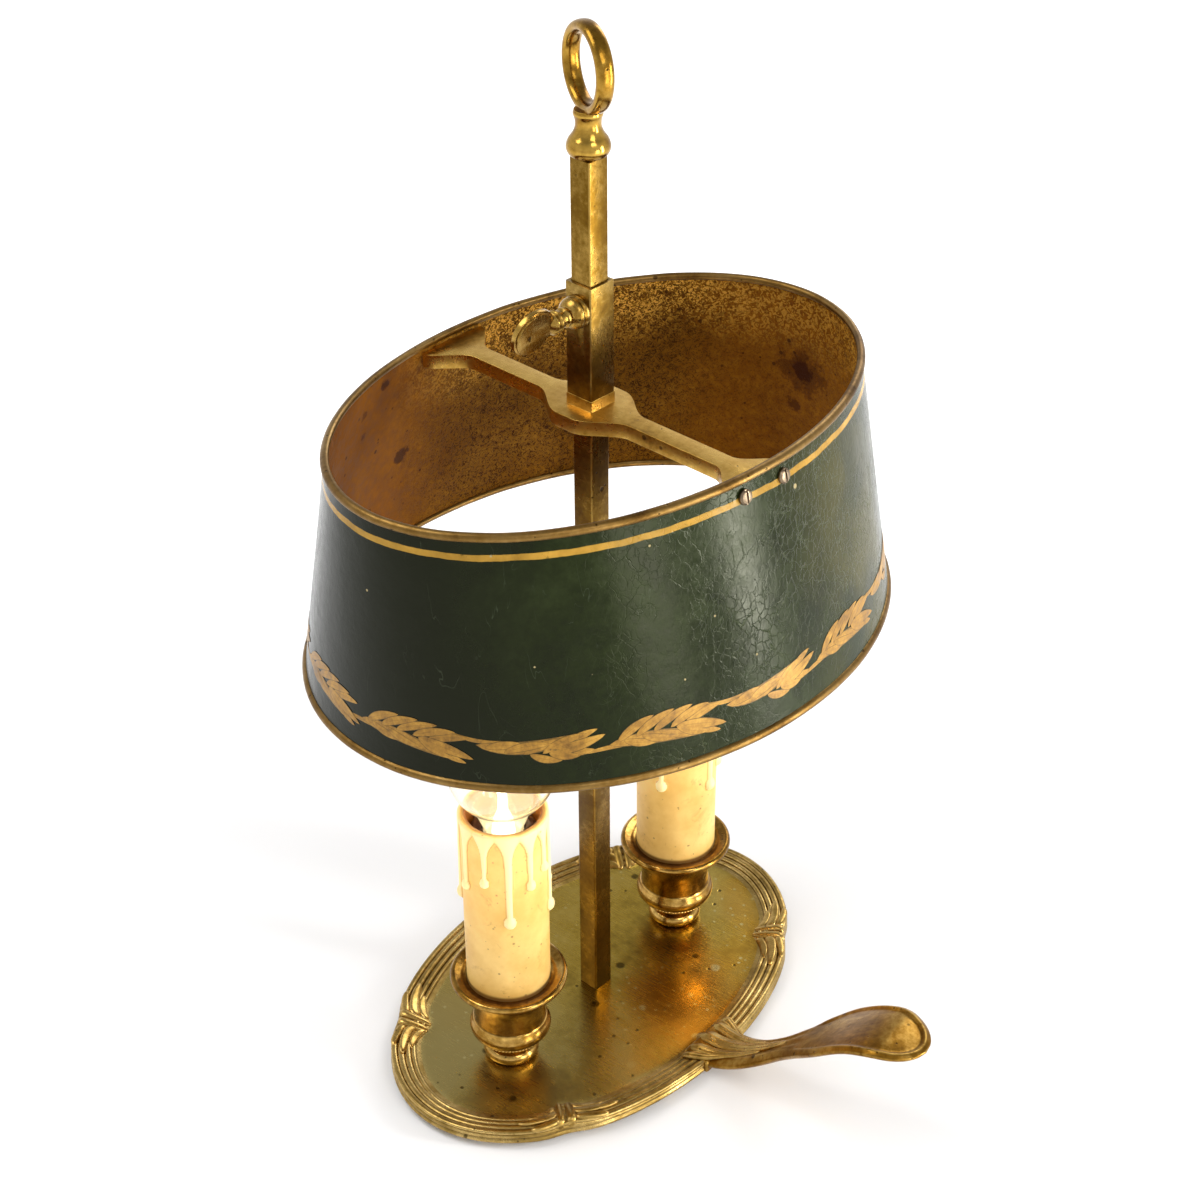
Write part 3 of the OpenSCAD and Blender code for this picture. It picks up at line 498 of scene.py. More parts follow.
# Stains on the inner wall: place in mm, radius, strength.
INSIDE_STAINS = ((127.0, -2.0, 266.0, 13.0, 0.55), (127.5, -2.5, 267.5, 5.5, 0.9),
                 (128.7, 3.8, 248.0, 4.5, 0.7), (-21.3, 86.9, 253.8, 5.0, 0.8),
                 (-40.0, 73.4, 297.8, 3.5, 0.8), (-53.0, 71.0, 291.0, 3.0, 0.6),
                 (-52.5, 73.5, 280.0, 2.6, 0.6))


def painted_outside():
    """Dark green paint with a gold stripe, crazed towards the right, chipped here and there."""
    look = Look("green paint", turn=-HEAD_TURN)
    clouds = look.noise(20, 5, 0.6, 0.5)
    fine = look.noise(260, 5, 0.65)
    green = look.ramp(look.plus(look.times(clouds, 0.7), look.times(fine, 0.3)),
                      (0.34, (0.0022, 0.0048, 0.0007)), (0.5, (0.0085, 0.0140, 0.0022)),
                      (0.68, (0.022, 0.032, 0.0085)))
    # Painted shade: the left end is darker, standing in for the shade on that side.
    green = look.blend(look.step(look.axis(0), -0.075, -0.122), green,
                       (0.0016, 0.0030, 0.0004))
    # Painted sheen: a lighter olive cast on the right-hand part stands in for the broad sheen
    # there, together with a bloom of the paint.
    olive_sheen = look.times(look.step(look.axis(0), -0.005, 0.055),
                       look.step(look.noise(16, 3), 0.36, 0.60))
    green = look.blend(olive_sheen, green, (0.055, 0.050, 0.010))
    # Crazing: two sizes of cracks, bent by noise, denser on the right.
    bent = look.bent(150, 0.006, look.stretched((1, 1, 0.7)))
    wide = look.step(look.cracks(105, bent), 0.028, 0.0)
    narrow = look.step(look.cracks(330, bent), 0.07, 0.0)
    crazed = look.times(look.step(look.axis(0), -0.082, -0.025, 0.04, 1.0),
                        look.step(look.noise(24, 3, 0.5), 0.40, 0.56, 0.15, 1.0))
    wide = look.times(wide, look.step(look.noise(55, 2), 0.42, 0.54))
    narrow = look.times(narrow, look.step(look.noise(38, 2), 0.50, 0.60, 0.25, 1.0))
    cracks = look.times(look.larger(wide, narrow), crazed)
    green = look.blend(look.times(cracks, 0.5), green, (0.085, 0.100, 0.050))
    hair = look.step(look.size_of(look.minus(look.noise(
        30, 3, 0.5, 2.5, look.stretched((1, 1, 0.5))), 0.5)), 0.004, 0.0)
    hair = look.times(hair, look.step(look.noise(50, 2), 0.5, 0.6))
    green = look.blend(look.times(hair, 0.4), green, (0.06, 0.075, 0.045))
    # The gold stripe, with a slightly uneven edge.
    height = look.plus(look.axis(2), look.times(look.minus(look.noise(70, 3), 0.5), 0.0016))
    away = look.size_of(look.minus(height, STRIPE_Z * MM))
    stripe = look.step(away, (STRIPE_HALF + 0.15) * MM, (STRIPE_HALF - 0.15) * MM)
    worn = look.step(look.noise(210, 5, 0.7), 0.28, 0.38, 0.35, 1.0)
    gold = look.ramp(look.noise(90, 4, 0.6), (0.3, (0.30, 0.16, 0.020)),
                     (0.7, (0.54, 0.30, 0.045)))
    paint = look.blend(look.times(stripe, worn), green, gold)
    # Chips and specks.
    chips = look.larger(look.spots(60, 0.075, 0.22), look.spots(190, 0.12, 0.05))
    paint = look.blend(chips, paint, (0.42, 0.33, 0.16))
    roughness = look.step(look.plus(look.times(fine, 0.5), look.times(clouds, 0.5)),
                          0.35, 0.65, 0.15, 0.27)
    height = look.minus(look.times(look.noise(75, 5, 0.6), 0.8), look.times(cracks, 0.9))
    height = look.minus(height, look.times(chips, 1.0))
    return look.surface(paint, roughness, 0.0, look.relief(height, 0.0005, 0.6),
                        Specular_IOR_Level=0.15, Specular_Tint=(1.0, 1.0, 0.7))


def gilded_inside():
    """Brown-gold lacquer, smooth on the left, with a net of fine dark marks on the right."""
    look = Look("inside lacquer", turn=-HEAD_TURN)
    clouds = look.noise(16, 5, 0.6, 0.4)
    fine = look.noise(300, 4, 0.6)
    cloudy = look.plus(look.times(clouds, 0.6), look.times(fine, 0.4))
    base = look.ramp(cloudy, (0.34, (0.125, 0.036, 0.001)), (0.52, (0.210, 0.068, 0.003)),
                     (0.70, (0.31, 0.115, 0.008)))
    right = look.times(look.step(look.axis(0), -0.04, 0.03),
                       look.step(look.axis(0), 0.125, 0.095, 0.45, 1.0))
    marked = look.ramp(cloudy, (0.34, (0.090, 0.033, 0.002)), (0.52, (0.17, 0.070, 0.006)),
                       (0.70, (0.28, 0.130, 0.018)))
    base = look.blend(right, base, marked)
    # Painted light: the upper part of the right side is paler, as though lit from the front, with
    # clearer marks in it.
    height = look.plus(look.axis(2), look.times(clouds, 0.05))
    lit_top_band = look.times(right, look.step(height, 0.290, 0.325))
    net = look.step(look.size_of(look.minus(look.noise(
        470, 1, 0.4, 1.6), 0.5)), 0.075, 0.02)
    light = look.step(look.noise(430, 1, 0.4, 1.8), 0.44, 0.56)
    base = look.blend(look.times(lit_top_band, look.times(light, 0.85)), base,
                      (0.78, 0.40, 0.060))
    base = look.blend(look.times(net, look.times(right, 0.9)), base,
                      (0.026, 0.009, 0.001))
    # Dark stains, runs of old varnish and specks.
    for x, y, z, radius, strength in INSIDE_STAINS:
        base = look.blend(look.times(look.near(x, y, z, radius), strength), base,
                          (0.030, 0.006, 0.002))
    specks = look.larger(look.spots(120, 0.15, 0.20), look.spots(300, 0.2, 0.10))
    base = look.blend(look.times(specks, 0.8), base, (0.030, 0.010, 0.002))
    return look.surface(base, look.step(fine, 0.3, 0.7, 0.42, 0.60), 0.1,
                        look.relief(look.minus(fine, look.times(net, right)), 0.00025, 0.5),
                        Specular_IOR_Level=0.04, Specular_Tint=(1.0, 0.7, 0.35))


def gold_leaf_paint():
    look = Look("garland gold")
    clouds = look.noise(90, 5, 0.65, 0.5)
    fine = look.noise(520, 4, 0.65)
    gold = look.ramp(look.plus(look.times(clouds, 0.6), look.times(fine, 0.4)),
                     (0.33, (0.15, 0.070, 0.008)), (0.50, (0.36, 0.180, 0.022)),
                     (0.68, (0.58, 0.32, 0.050)))
    outline = look.attribute("leaf")
    gold = look.blend(look.step(outline, 0.20, 0.04, 0.0, 0.85), gold, (0.045, 0.030, 0.006))
    vein = look.step(outline, 0.86, 1.0, 0.0, 0.35)
    gold = look.blend(vein, gold, (0.13, 0.066, 0.010))
    worn = look.step(look.noise(130, 6, 0.75, 0.5), 0.62, 0.69)
    gold = look.blend(look.times(worn, 0.8), gold, (0.013, 0.02, 0.010))
    return look.surface(gold, look.step(fine, 0.3, 0.7, 0.30, 0.45), 0.15,
                        look.relief(clouds, 0.0002, 0.4), Specular_IOR_Level=0.3)


SEAM_Z = FLOOR_Z + 46.3


def wax():
    """Cream resin, glowing from the bulb above, with small dark specks."""
    look = Look("candle resin")
    clouds = look.noise(55, 4, 0.6)
    raised = look.attribute("drip")
    base = look.ramp(clouds, (0.35, (0.66, 0.38, 0.085)), (0.65, (0.82, 0.54, 0.17)))
    blotches = look.step(look.noise(95, 5, 0.7, 0.6), 0.56, 0.72)
    base = look.blend(look.times(blotches, 0.55), base, (0.50, 0.24, 0.04))
    # Painted light and shade: the raised drips are paler, as though lit, with a painted shadow
    # along their edges.
    base = look.blend(look.step(raised, 0.15, 0.75), base, (0.87, 0.70, 0.33))
    shadow = look.step(raised, 0.02, 0.12)
    shadow = look.times(shadow, look.step(raised, 0.30, 0.16))
    base = look.blend(look.times(shadow, 0.6), base, (0.44, 0.20, 0.04))
    # A dark seam where the sleeve stands in its cup.
    seam = look.step(look.axis(2), (SEAM_Z + 1.2) * MM, (SEAM_Z - 0.4) * MM, 0.0, 0.85)
    base = look.blend(seam, base, (0.12, 0.045, 0.008))
    specks = look.larger(look.spots(230, 0.17, 0.30), look.spots(520, 0.22, 0.12))
    base = look.blend(look.times(specks, 0.8), base, (0.22, 0.10, 0.02))
    base = look.blend(look.attribute("inside"), base, (0.26, 0.085, 0.015))
    glow = look.step(look.axis(2), 0.055, 0.135, 0.08, 0.50)
    glow = look.times(glow, look.step(look.attribute("inside"), 1.0, 0.0))
    glow = look.times(glow, look.step(shadow, 1.0, 0.0, 0.5, 1.0))
    glow = look.times(glow, look.step(blotches, 1.0, 0.0, 0.6, 1.0))
    glow = look.times(glow, look.step(seam, 0.85, 0.0))
    material = look.surface(base, 0.45, 0.0, look.relief(look.noise(420, 4), 0.00015, 0.4))
    look.put(look.shader.inputs["Emission Color"], look.blend(
        look.step(raised, 0.15, 0.75), (1.0, 0.60, 0.15), (1.0, 0.74, 0.32)))
    look.put(look.shader.inputs["Emission Strength"], glow)
    return material


GLASS_MIDDLE, GLASS_SHADED_EDGE = (0.97, 0.945, 0.89), (0.62, 0.50, 0.34)


def clear_glass():
    """Clear glass with painted shade, darker and browner towards its edge; lit from inside; shadow
    rays pass through.
    """
    look = Look("bulb glass")
    # Painted shade: the glass turns darker and browner where it is seen side-on.
    edge = look.add("ShaderNodeLayerWeight")
    edge.inputs["Blend"].default_value = 0.3
    edge_shading = look.blend(look.step(edge.outputs["Facing"], 0.35, 0.95), GLASS_MIDDLE, GLASS_SHADED_EDGE)
    look.surface(edge_shading, 0.0, 0.0, None, IOR=1.45)
    look.shader.inputs["Transmission Weight"].default_value = 1.0
    low = look.step(look.axis(2), (BULB_BASE + 52) * MM, (BULB_BASE + 26) * MM, 0.05, 0.40)
    look.put(look.shader.inputs["Emission Color"], (1.0, 0.84, 0.46))
    look.put(look.shader.inputs["Emission Strength"], low)
    path = look.add("ShaderNodeLightPath")
    clear = look.add("ShaderNodeBsdfTransparent")
    choose = look.add("ShaderNodeMixShader")
    look.link(path.outputs["Is Shadow Ray"], choose.inputs[0])
    look.link(look.shader.outputs[0], choose.inputs[1])
    look.link(clear.outputs[0], choose.inputs[2])
    look.link(choose.outputs[0], look.tree.nodes["Material Output"].inputs["Surface"])
    return look.material


def glowing(name, color, strength, rough=0.4):
    look = Look(name)
    cloud = look.noise(200, 3)
    look.surface(look.blend(cloud, color, tuple(c * 0.8 for c in color)), rough)
    look.put(look.shader.inputs["Emission Color"], color)
    look.shader.inputs["Emission Strength"].default_value = strength
    return look.material


STEEL_DARK = steel("dark screw steel", (0.30, 0.22, 0.14), 0.30)
STEEL = steel("plated steel", (0.62, 0.61, 0.58), 0.25)
COVER = moulded("cover paint", (0.05, 0.05, 0.05), 0.55)
BLACK = moulded("black plastic", (0.015, 0.015, 0.015), 0.45)
HOLDER = moulded("phenolic", (0.045, 0.016, 0.008), 0.28)
CERAMIC = moulded("terminal ceramic", (0.72, 0.69, 0.60), 0.4)
LEAD = moulded("lead insulation", (0.30, 0.14, 0.05), 0.5)
CAP = steel("bulb cap metal", (0.72, 0.68, 0.60), 0.22)
FELT = felt_look()
GLASS = clear_glass()
WAX = wax()
GARLAND = gold_leaf_paint()
FILAMENT = glowing("filament", (1.0, 0.72, 0.30), 25.0)
MOUNT = glowing("bulb mount", (1.0, 0.93, 0.70), 1.6, 0.15)

CARRIED_OVER = {
    "base_cover": COVER, "base_felt": FELT, "cover_screws": STEEL, "cord_gland": BLACK,
    "terminal_block": CERAMIC, "lead_a": LEAD, "lead_b": LEAD, "stem_washer": STEEL,
    "stem_nut": STEEL, "finial_stud": STEEL, "tube_a": STEEL, "tube_b": STEEL,
    "cup_nuts": STEEL, "screw_shell_a": BRASS["contact"], "screw_shell_b": BRASS["contact"],
    "centre_contact_a": BRASS["contact"], "centre_contact_b": BRASS["contact"],
    "bulb_cap_a": CAP, "bulb_cap_b": CAP,
    "bulb_mount_a": MOUNT, "bulb_mount_b": MOUNT, "filament_a": FILAMENT,
    "filament_b": FILAMENT,
}
for node, material in CARRIED_OVER.items():
    NODES[node].data.materials.clear()
    NODES[node].data.materials.append(material)


# ---------- tray ----------

HALF_L, HALF_W = 110.5, 72.0
RIM_W, RIM_RISE, RIM_LIFT = 12.0, 3.0, 3.0
TIE_ANGLES = [45, 135, 225, 315]
CUSP = 3.2
FOOT_INSET, FOOT_W = 13.0, 2.4
UNDER_Z, HOLLOW_Z = 5.0, 1.9
GLAND_W, ARCH_W = 10.0, 7.0


def tie_at(degrees, spread=5.0):
    return bump(degrees % 90, 45, spread)


def on_tray(degrees, inset, z, cusp=0.0):
    """A point at a distance inside the tray's oval outline, with its nicks at the ties."""
    t = math.radians(degrees)
    outward = Vector((math.cos(t) / HALF_L, math.sin(t) / HALF_W, 0)).normalized()
    nick = 1.6 * tie_at(degrees) * clamp(1 - inset / FOOT_INSET)
    nick += cusp * tie_at(degrees, 3.8) * smooth((inset - 3) / 8) * smooth((19.5 - inset) / 6)
    return Vector((HALF_L * math.cos(t), HALF_W * math.sin(t), z)) - outward * (inset + nick)


REEDS = ((0.13, 0.11, 1.0), (0.37, 0.115, 0.93), (0.61, 0.11, 0.74), (0.82, 0.09, 0.50))


# Rolls on the rim's side: inset, height, radius, first and last angle.
SIDE_ROLLS = ((0.0, 4.3, 1.2, -75, 60), (0.15, 6.75, 1.2, -60, 75))


def rim_profile():
    """The rim from its lower edge up its side and over to the floor: (inset, height)."""
    line = []
    for inset, height, radius, low, high in SIDE_ROLLS:
        for a in range(low, high + 1, 15):
            line.append((inset + radius * (1 - math.cos(math.radians(a))),
                         height + radius * math.sin(math.radians(a)) - FLOOR_Z))
    for centre, half, top in REEDS:
        foot = top - 0.30
        for k in range(9):
            a = math.pi * (1 - k / 8)
            line.append(((centre + half * math.cos(a)) * RIM_W,
                         (foot + (top - foot) * math.sin(a) ** 0.8) * RIM_RISE))
    line += [(0.98 * RIM_W, 0.16 * RIM_RISE), (1.10 * RIM_W, 0.05 * RIM_RISE), (1.3 * RIM_W, 0)]
    return line


def rim_top(inset):
    """Height of the rim's top above the floor, without the reeds."""
    return RIM_RISE * (1 - smooth((inset / RIM_W - 0.25) / 0.85)) * 0.98


def cut_arch(bm):
    """Opens the foot ring at the gland, and the rim's underside outside it."""
    for half, near, far in ((GLAND_W / 2, HALF_W - FOOT_INSET - FOOT_W - 1, HALF_W - FOOT_INSET),
                            (ARCH_W / 2, HALF_W - FOOT_INSET - 1, HALF_W + 1)):
        for v in bm.verts:
            x, y, z = v.co / MM
            if abs(x) < half and near < y < far and z < UNDER_Z:
                v.co.z = UNDER_Z * MM
    bmesh.ops.dissolve_degenerate(bm, dist=0.0001 * MM, edges=bm.edges)
    return bm


def tray_body():
    reach = 100.0
    top = [(reach - i, FLOOR_Z + z) for i, z in rim_profile()]
    floor = [(reach - i, FLOOR_Z) for i in (20, 40, 70)] + [(0, FLOOR_Z)]
    under = [(0, UNDER_Z), (reach - FOOT_INSET - FOOT_W, UNDER_Z),
             (reach - FOOT_INSET - FOOT_W, HOLLOW_Z), (reach - FOOT_INSET, HOLLOW_Z),
             (reach - FOOT_INSET, RIM_LIFT + 0.3), (reach - 1.2, RIM_LIFT)]
    bm = turned(floor[::-1] + top[::-1] + under[::-1], 240)

    def place(x, y, z):
        r = math.hypot(x, y)
        degrees = math.degrees(math.atan2(y, x))
        inset = reach - r
        if inset > 20:
            edge = on_tray(degrees, 20, z)
            return Vector((edge.x * r / (reach - 20), edge.y * r / (reach - 20), z))
        if z < FLOOR_Z - 0.1:
            return on_tray(degrees, inset, z)
        lift = 0.5 * tie_at(degrees) * clamp((z - FLOOR_Z) / RIM_RISE)
        return on_tray(degrees, inset, z + lift, CUSP)

    warp(bm, place)
    cut_arch(bm)
    piece = finished("tray_body", bm, BRASS["tray"], "base", ["tray"], wear=1.6,
                     smooth_angle=50)
    # The flat floor has its own finish.
    piece.data.materials.append(BRASS["tray_floor"])
    for face in piece.data.polygons:
        if face.center.z > (FLOOR_Z - 0.05) * MM and face.center.z < (FLOOR_Z + 0.25) * MM \
                and face.normal.z > 0.9:
            face.material_index = 1
    return piece


def on_rim(base_degrees, along, inset, z):
    """A point on the rim at a distance along it, in mm, from a direction in degrees."""
    t = math.radians(base_degrees)
    speed = math.hypot(HALF_L * math.sin(t), HALF_W * math.cos(t))
    return on_tray(base_degrees + math.degrees(along / speed), inset, z, CUSP)


TIE_BANDS = (-2.6, 2.4)
# Lobes beside a tie: inset, length, width, lift.
TIE_LOBES = ((2.4, 14.0, 4.6, 0.1), (6.2, 20.0, 5.2, 0.5), (10.3, 15.0, 4.6, 0.2))


def ribbon_ties():
    """Crossed ribbons with folded loops either side, at the four ties of the rim."""
    parts = []
    for degrees in TIE_ANGLES:
        # Two bands wrap the reeds from the floor to the rim's side.
        for shift in TIE_BANDS:
            def wrap(x, y, z, s=shift, d=degrees):
                inset = max(6.3 + x, 0.15)
                over = 1.9 * smooth((1.8 - (6.3 + x)) / 2.4)
                return on_rim(d, y + s + 0.22 * x, inset,
                              FLOOR_Z + rim_top(inset) + z + 0.45 - over)

            parts.append(warp(bar(14.4, 4.5, 1.35, 18, 14), wrap))
        # Lobes lie along the rim on each side and taper into the reeds.
        for side in (-1, 1):
            for inset, length, width, lift in TIE_LOBES:
                def fold(x, y, z, d=degrees, s=side, i=inset, n=length, w=width, up=lift):
                    u = (x + n / 2) / n
                    along = s * (3.4 + n / 2 + x)
                    across = i + y * mix(1.1, 0.62, u) - 1.0 * math.sin(x / n * math.pi)
                    if z > 0:
                        # A shallow flute runs down the middle of the lobe.
                        z -= 0.5 * bump(y / w, 0.0, 0.16) * bump(x / n, 0.0, 0.34)
                    return on_rim(d, along, across, FLOOR_Z + rim_top(across) + up
                                  + z * mix(1.0, 0.7, u))

                parts.append(warp(bar(length, width, 1.7, 18, 14), fold))
    bm = join(parts)
    bmesh.ops.recalc_face_normals(bm, faces=bm.faces)
    return rounded(finished("ribbon_ties", bm, BRASS["tied"], "base", wear=1.0,
                            smooth_angle=180))


# ---------- handle ----------

ROOT_Y, HANDLE_LEN = -60.0, 111.0
ROOT_W, NECK_W, PADDLE_W, HANDLE_T = 26.0, 16.5, 34.0, 5.0
HANDLE_TOP, HANDLE_END = FLOOR_Z + 2.8, FLOOR_Z + 62.5
NECK_AT, TIP_AT = 0.42, 0.78
FLARE_START, FLARE_END, UNDER_FULL = 0.355, 0.635, 1.25
RISE_START, RISE_END = 0.06, 0.88


def handle_path(s):
    return Vector((0, ROOT_Y - s * HANDLE_LEN,
                   mix(HANDLE_TOP, HANDLE_END,
                       smooth((s - RISE_START) / (RISE_END - RISE_START)))))


def handle_half(s):
    width = mix(ROOT_W, NECK_W, smooth(s / NECK_AT))
    width += (PADDLE_W - NECK_W) * smooth((s - FLARE_START) / (FLARE_END - FLARE_START))
    tip = math.sqrt(max(0.0004, 1 - ((s - TIP_AT) / (1 - TIP_AT)) ** 2)) if s > TIP_AT else 1
    return tip * width / 2


def handle_up(s):
    ahead = (handle_path(s + 0.001) - handle_path(s - 0.001)).normalized()
    return Vector((0, ahead.z, -ahead.y))


def border_height(s, x, width):
    """Relief of the handle's top: a raised border round a sunk panel, flutes on the neck."""
    tip_length = (1 - TIP_AT) * HANDLE_LEN
    if s > TIP_AT:
        u = (s - TIP_AT) / (1 - TIP_AT)
        r = math.hypot(u, x / (PADDLE_W / 2))
        reach = mix(PADDLE_W / 2, tip_length, (u / r) ** 2 if r > 0 else 0)
        away = (1 - r) * reach
    else:
        away = width - abs(x)
    panel = smooth((s - 0.45) / 0.06)
    sunk = smooth((away - 2.9) / 0.9)
    ridge = bump(away, 2.1, 0.8)
    # Ridges from the leaf run on along the neck.
    fluted = smooth((s - 0.06) / 0.1) * smooth((0.52 - s) / 0.08)
    flutes = 0.35 * math.cos(x / max(width, 1.0) * 3.2 * math.pi)
    return panel * (0.45 * ridge - 0.75 * sunk) + fluted * flutes


HANDLE_STATIONS, HANDLE_SIDES = 64, 60


def handle_paddle():
    rings = []
    for i in range(HANDLE_STATIONS + 1):
        u = i / HANDLE_STATIONS
        s = mix(0.05, 1.0, math.sin(u * math.pi / 2) * 0.45 + u * 0.55)
        width = handle_half(s)
        thick = HANDLE_T / 2 * (max(0.15, width / PADDLE_W * 2) if s > TIP_AT else 1)
        up = handle_up(s)
        centre = handle_path(s) - up * HANDLE_T / 2
        ring = []
        for k in range(HANDLE_SIDES):
            a = k * math.tau / HANDLE_SIDES
            ca, sa = math.cos(a), math.sin(a)
            x = width * math.copysign(abs(ca) ** 0.8, ca)
            h = thick * math.copysign(abs(sa) ** 0.8, sa) * (UNDER_FULL if sa < 0 else 1)
            if sa > 0.05:
                h += border_height(s, x, width)
            ring.append(centre + Vector((x, 0, 0)) + up * h)
        rings.append(ring)
    bm = lofted(rings)
    block = bmesh.new()
    bmesh.ops.create_cube(block, size=1)
    low, high = Vector((-ROOT_W / 2, -HALF_W - 1, RIM_LIFT)), Vector(
        (ROOT_W / 2, -HALF_W + 12, HANDLE_TOP + 0.2))
    for v in block.verts:
        v.co = Vector([(low[i] + high[i]) / 2 + v.co[i] * (high[i] - low[i])
                       for i in range(3)]) * MM
    bmesh.ops.bevel(block, geom=list(block.edges), offset=1.4 * MM, segments=3, profile=0.5,
                    affect="EDGES", material=-1)
    whole = join([bm, block])
    return finished("handle_paddle", whole, BRASS["handle"], "base", ["handle"],
                    wear=1.4, smooth_angle=50)


# Lobes of the leaf: start across, length, width, height.
LEAF_LOBES = ((-14.0, 22, 5.0, 2.0), (-8.4, 34, 6.2, 2.7), (0.2, 48, 8.2, 3.1),
              (8.4, 34, 6.2, 2.7), (14.0, 22, 5.0, 2.0))


def handle_leaf():
    """Broad fluted lobes that rise from the tray's floor over the rim, gathered at the neck."""
    parts = []
    for start_x, length, width, height in LEAF_LOBES:
        def lay(x, y, z, x0=start_x, n=length, w=width):
            u = (x + n / 2) / n
            across = x0 * mix(1.0, 0.40, smooth(u)) + y * mix(1.15, 0.55, u)
            along_y = ROOT_Y + 2.6 - u * n - abs(x0) * 0.22
            s = clamp((ROOT_Y - along_y) / HANDLE_LEN)
            inner = smooth((along_y - (ROOT_Y - 5.0)) / 8.0)
            top = mix(handle_path(s).z + 0.1, FLOOR_Z + 0.4, inner)
            if z > 0:
                # Two flutes run along each lobe.
                z -= 0.8 * (bump(y / w, -0.2, 0.08) + bump(y / w, 0.2, 0.08)) * smooth(4 * u)
            return (across, along_y, top + z * mix(1.0, 0.35, u))

        parts.append(warp(bar(length, width, height, 28, 22), lay))
    bm = join(parts)
    bmesh.ops.recalc_face_normals(bm, faces=bm.faces)
    return rounded(finished("handle_leaf", bm, BRASS["tied"], "base", wear=1.2,
                            smooth_angle=180))


# ---------- candle lights ----------

CUP_H, CUP_RIM_R, BELLY_R, CUP_NECK_R, CUP_BASE_R = 46.8, 25.0, 17.5, 15.7, 12.0
CANDLE_R, CANDLE_WALL, CANDLE_LEN = 17.8, 2.5, 91.5
BEADS, BEAD_R = 64, 0.62
CANDLE_FOOT = FLOOR_Z + 41.5
CANDLE_TOP = CANDLE_FOOT + CANDLE_LEN


def at_candle(bm, side):
    bmesh.ops.translate(bm, verts=bm.verts, vec=(side * CANDLE_X * MM, 0, 0))
    return bm


def cup(side, letter):
    h, rr, bb, nn, fb = CUP_H, CUP_RIM_R, BELLY_R, CUP_NECK_R, CUP_BASE_R
    seat = h - 5.3
    arc = [(fb - 3.4 + 3.4 * math.cos(math.radians(a)), 3.6 + 3.4 * math.sin(math.radians(a)))
           for a in range(-75, 76, 15)]
    waist = curve_through([(fb - 3.0, 7.2), (fb - 3.6, 8.4), (fb - 3.5, 9.8), (fb - 2.2, 11.2),
                           (bb - 3.4, 12.1), (bb - 2.9, 12.6)], 4)
    belly = curve_through([(bb - 2.9, 13.6), (bb - 1.5, 14.3), (bb - 0.4, 15.8), (bb, 17.6),
                           (bb - 0.3, 19.3), (bb - 1.0, 20.8), (nn + 0.3, 22.1)], 4)
    neck = curve_through([(nn - 0.2, 22.6), (nn - 0.3, 25.5), (nn - 0.2, 30), (nn + 0.3, 34),
                          (nn + 1.9, 38.5), (20.0, h - 3.9), (rr - 1, h - 3.4)], 4)
    edge = [(rr - 1.7 + 1.7 * math.cos(math.radians(a)),
             h - 1.7 + 1.7 * math.sin(math.radians(a))) for a in range(-60, 111, 10)]
    dish = curve_through([(rr - 3.2, h - 0.55), (rr - 4.6, h - 1.0), (19.2, h - 1.6),
                          (18.05, h - 1.8)], 3)
    inside = [(18.05, seat), (nn - 1.8, seat), (nn - 1.8, 18), (nn - 3.8, 16), (5.04, 16)]
    profile = [(5.04, 0)] + arc + waist + belly + neck + edge + dish + inside
    bm = turned([(r, z + FLOOR_Z) for r, z in profile], 96, closed=True)
    bm = at_candle(bm, side)
    # A line of small beads under the belly.
    beads = []
    for k in range(BEADS):
        a = k * math.tau / BEADS
        bead = bmesh.new()
        bmesh.ops.create_uvsphere(bead, u_segments=8, v_segments=6, radius=BEAD_R * MM)
        r = bb - 2.75
        bmesh.ops.translate(bead, verts=bead.verts, vec=(
            (side * CANDLE_X + r * math.cos(a)) * MM, r * math.sin(a) * MM,
            (FLOOR_Z + 13.1) * MM))
        beads.append(bead)
    return finished("candle_cup_" + letter, join([bm] + beads), BRASS["cup"], "base",
                    ["cup_" + letter], wear=1.5, smooth_angle=40)


# Wax drips: direction in degrees, length, half width, all seen from above.
DRIPS = ((8, 22, 1.6), (36, 38, 1.8), (66, 26, 1.5), (97, 42, 1.9), (131, 30, 1.6),
         (164, 24, 1.5), (196, 44, 1.9), (226, 27, 1.6), (252, 22, 1.5), (272, 47, 2.0),
         (300, 40, 1.7), (330, 36, 1.8))


DRIP_REACH, DRIP_END = 7.0, 2.5


def drip_height(degrees, depth, turn):
    """Thickness of the wax at a direction and a depth below the top."""
    best = 0.0
    for angle, length, half in DRIPS:
        away = abs((degrees - angle - turn + 180) % 360 - 180)
        x = math.radians(away) * CANDLE_R
        if x > DRIP_REACH or depth > length + 3:
            continue
        width = half * mix(1.0, 0.62, clamp(depth / length)) + 4.6 * math.exp(
            -(depth / 5.2) ** 1.6)
        thick = mix(0.95, 1.55, clamp(depth / length))
        h = thick * math.sqrt(max(0.0, 1 - (x / width) ** 2)) * smooth((length - depth + 1) / 2)
        end = half * 1.35
        r = math.hypot(x, (depth - length) * 0.8) / end
        if r < 1:
            h = max(h, DRIP_END * math.sqrt(1 - r * r))
        best = max(best, h)
    return best


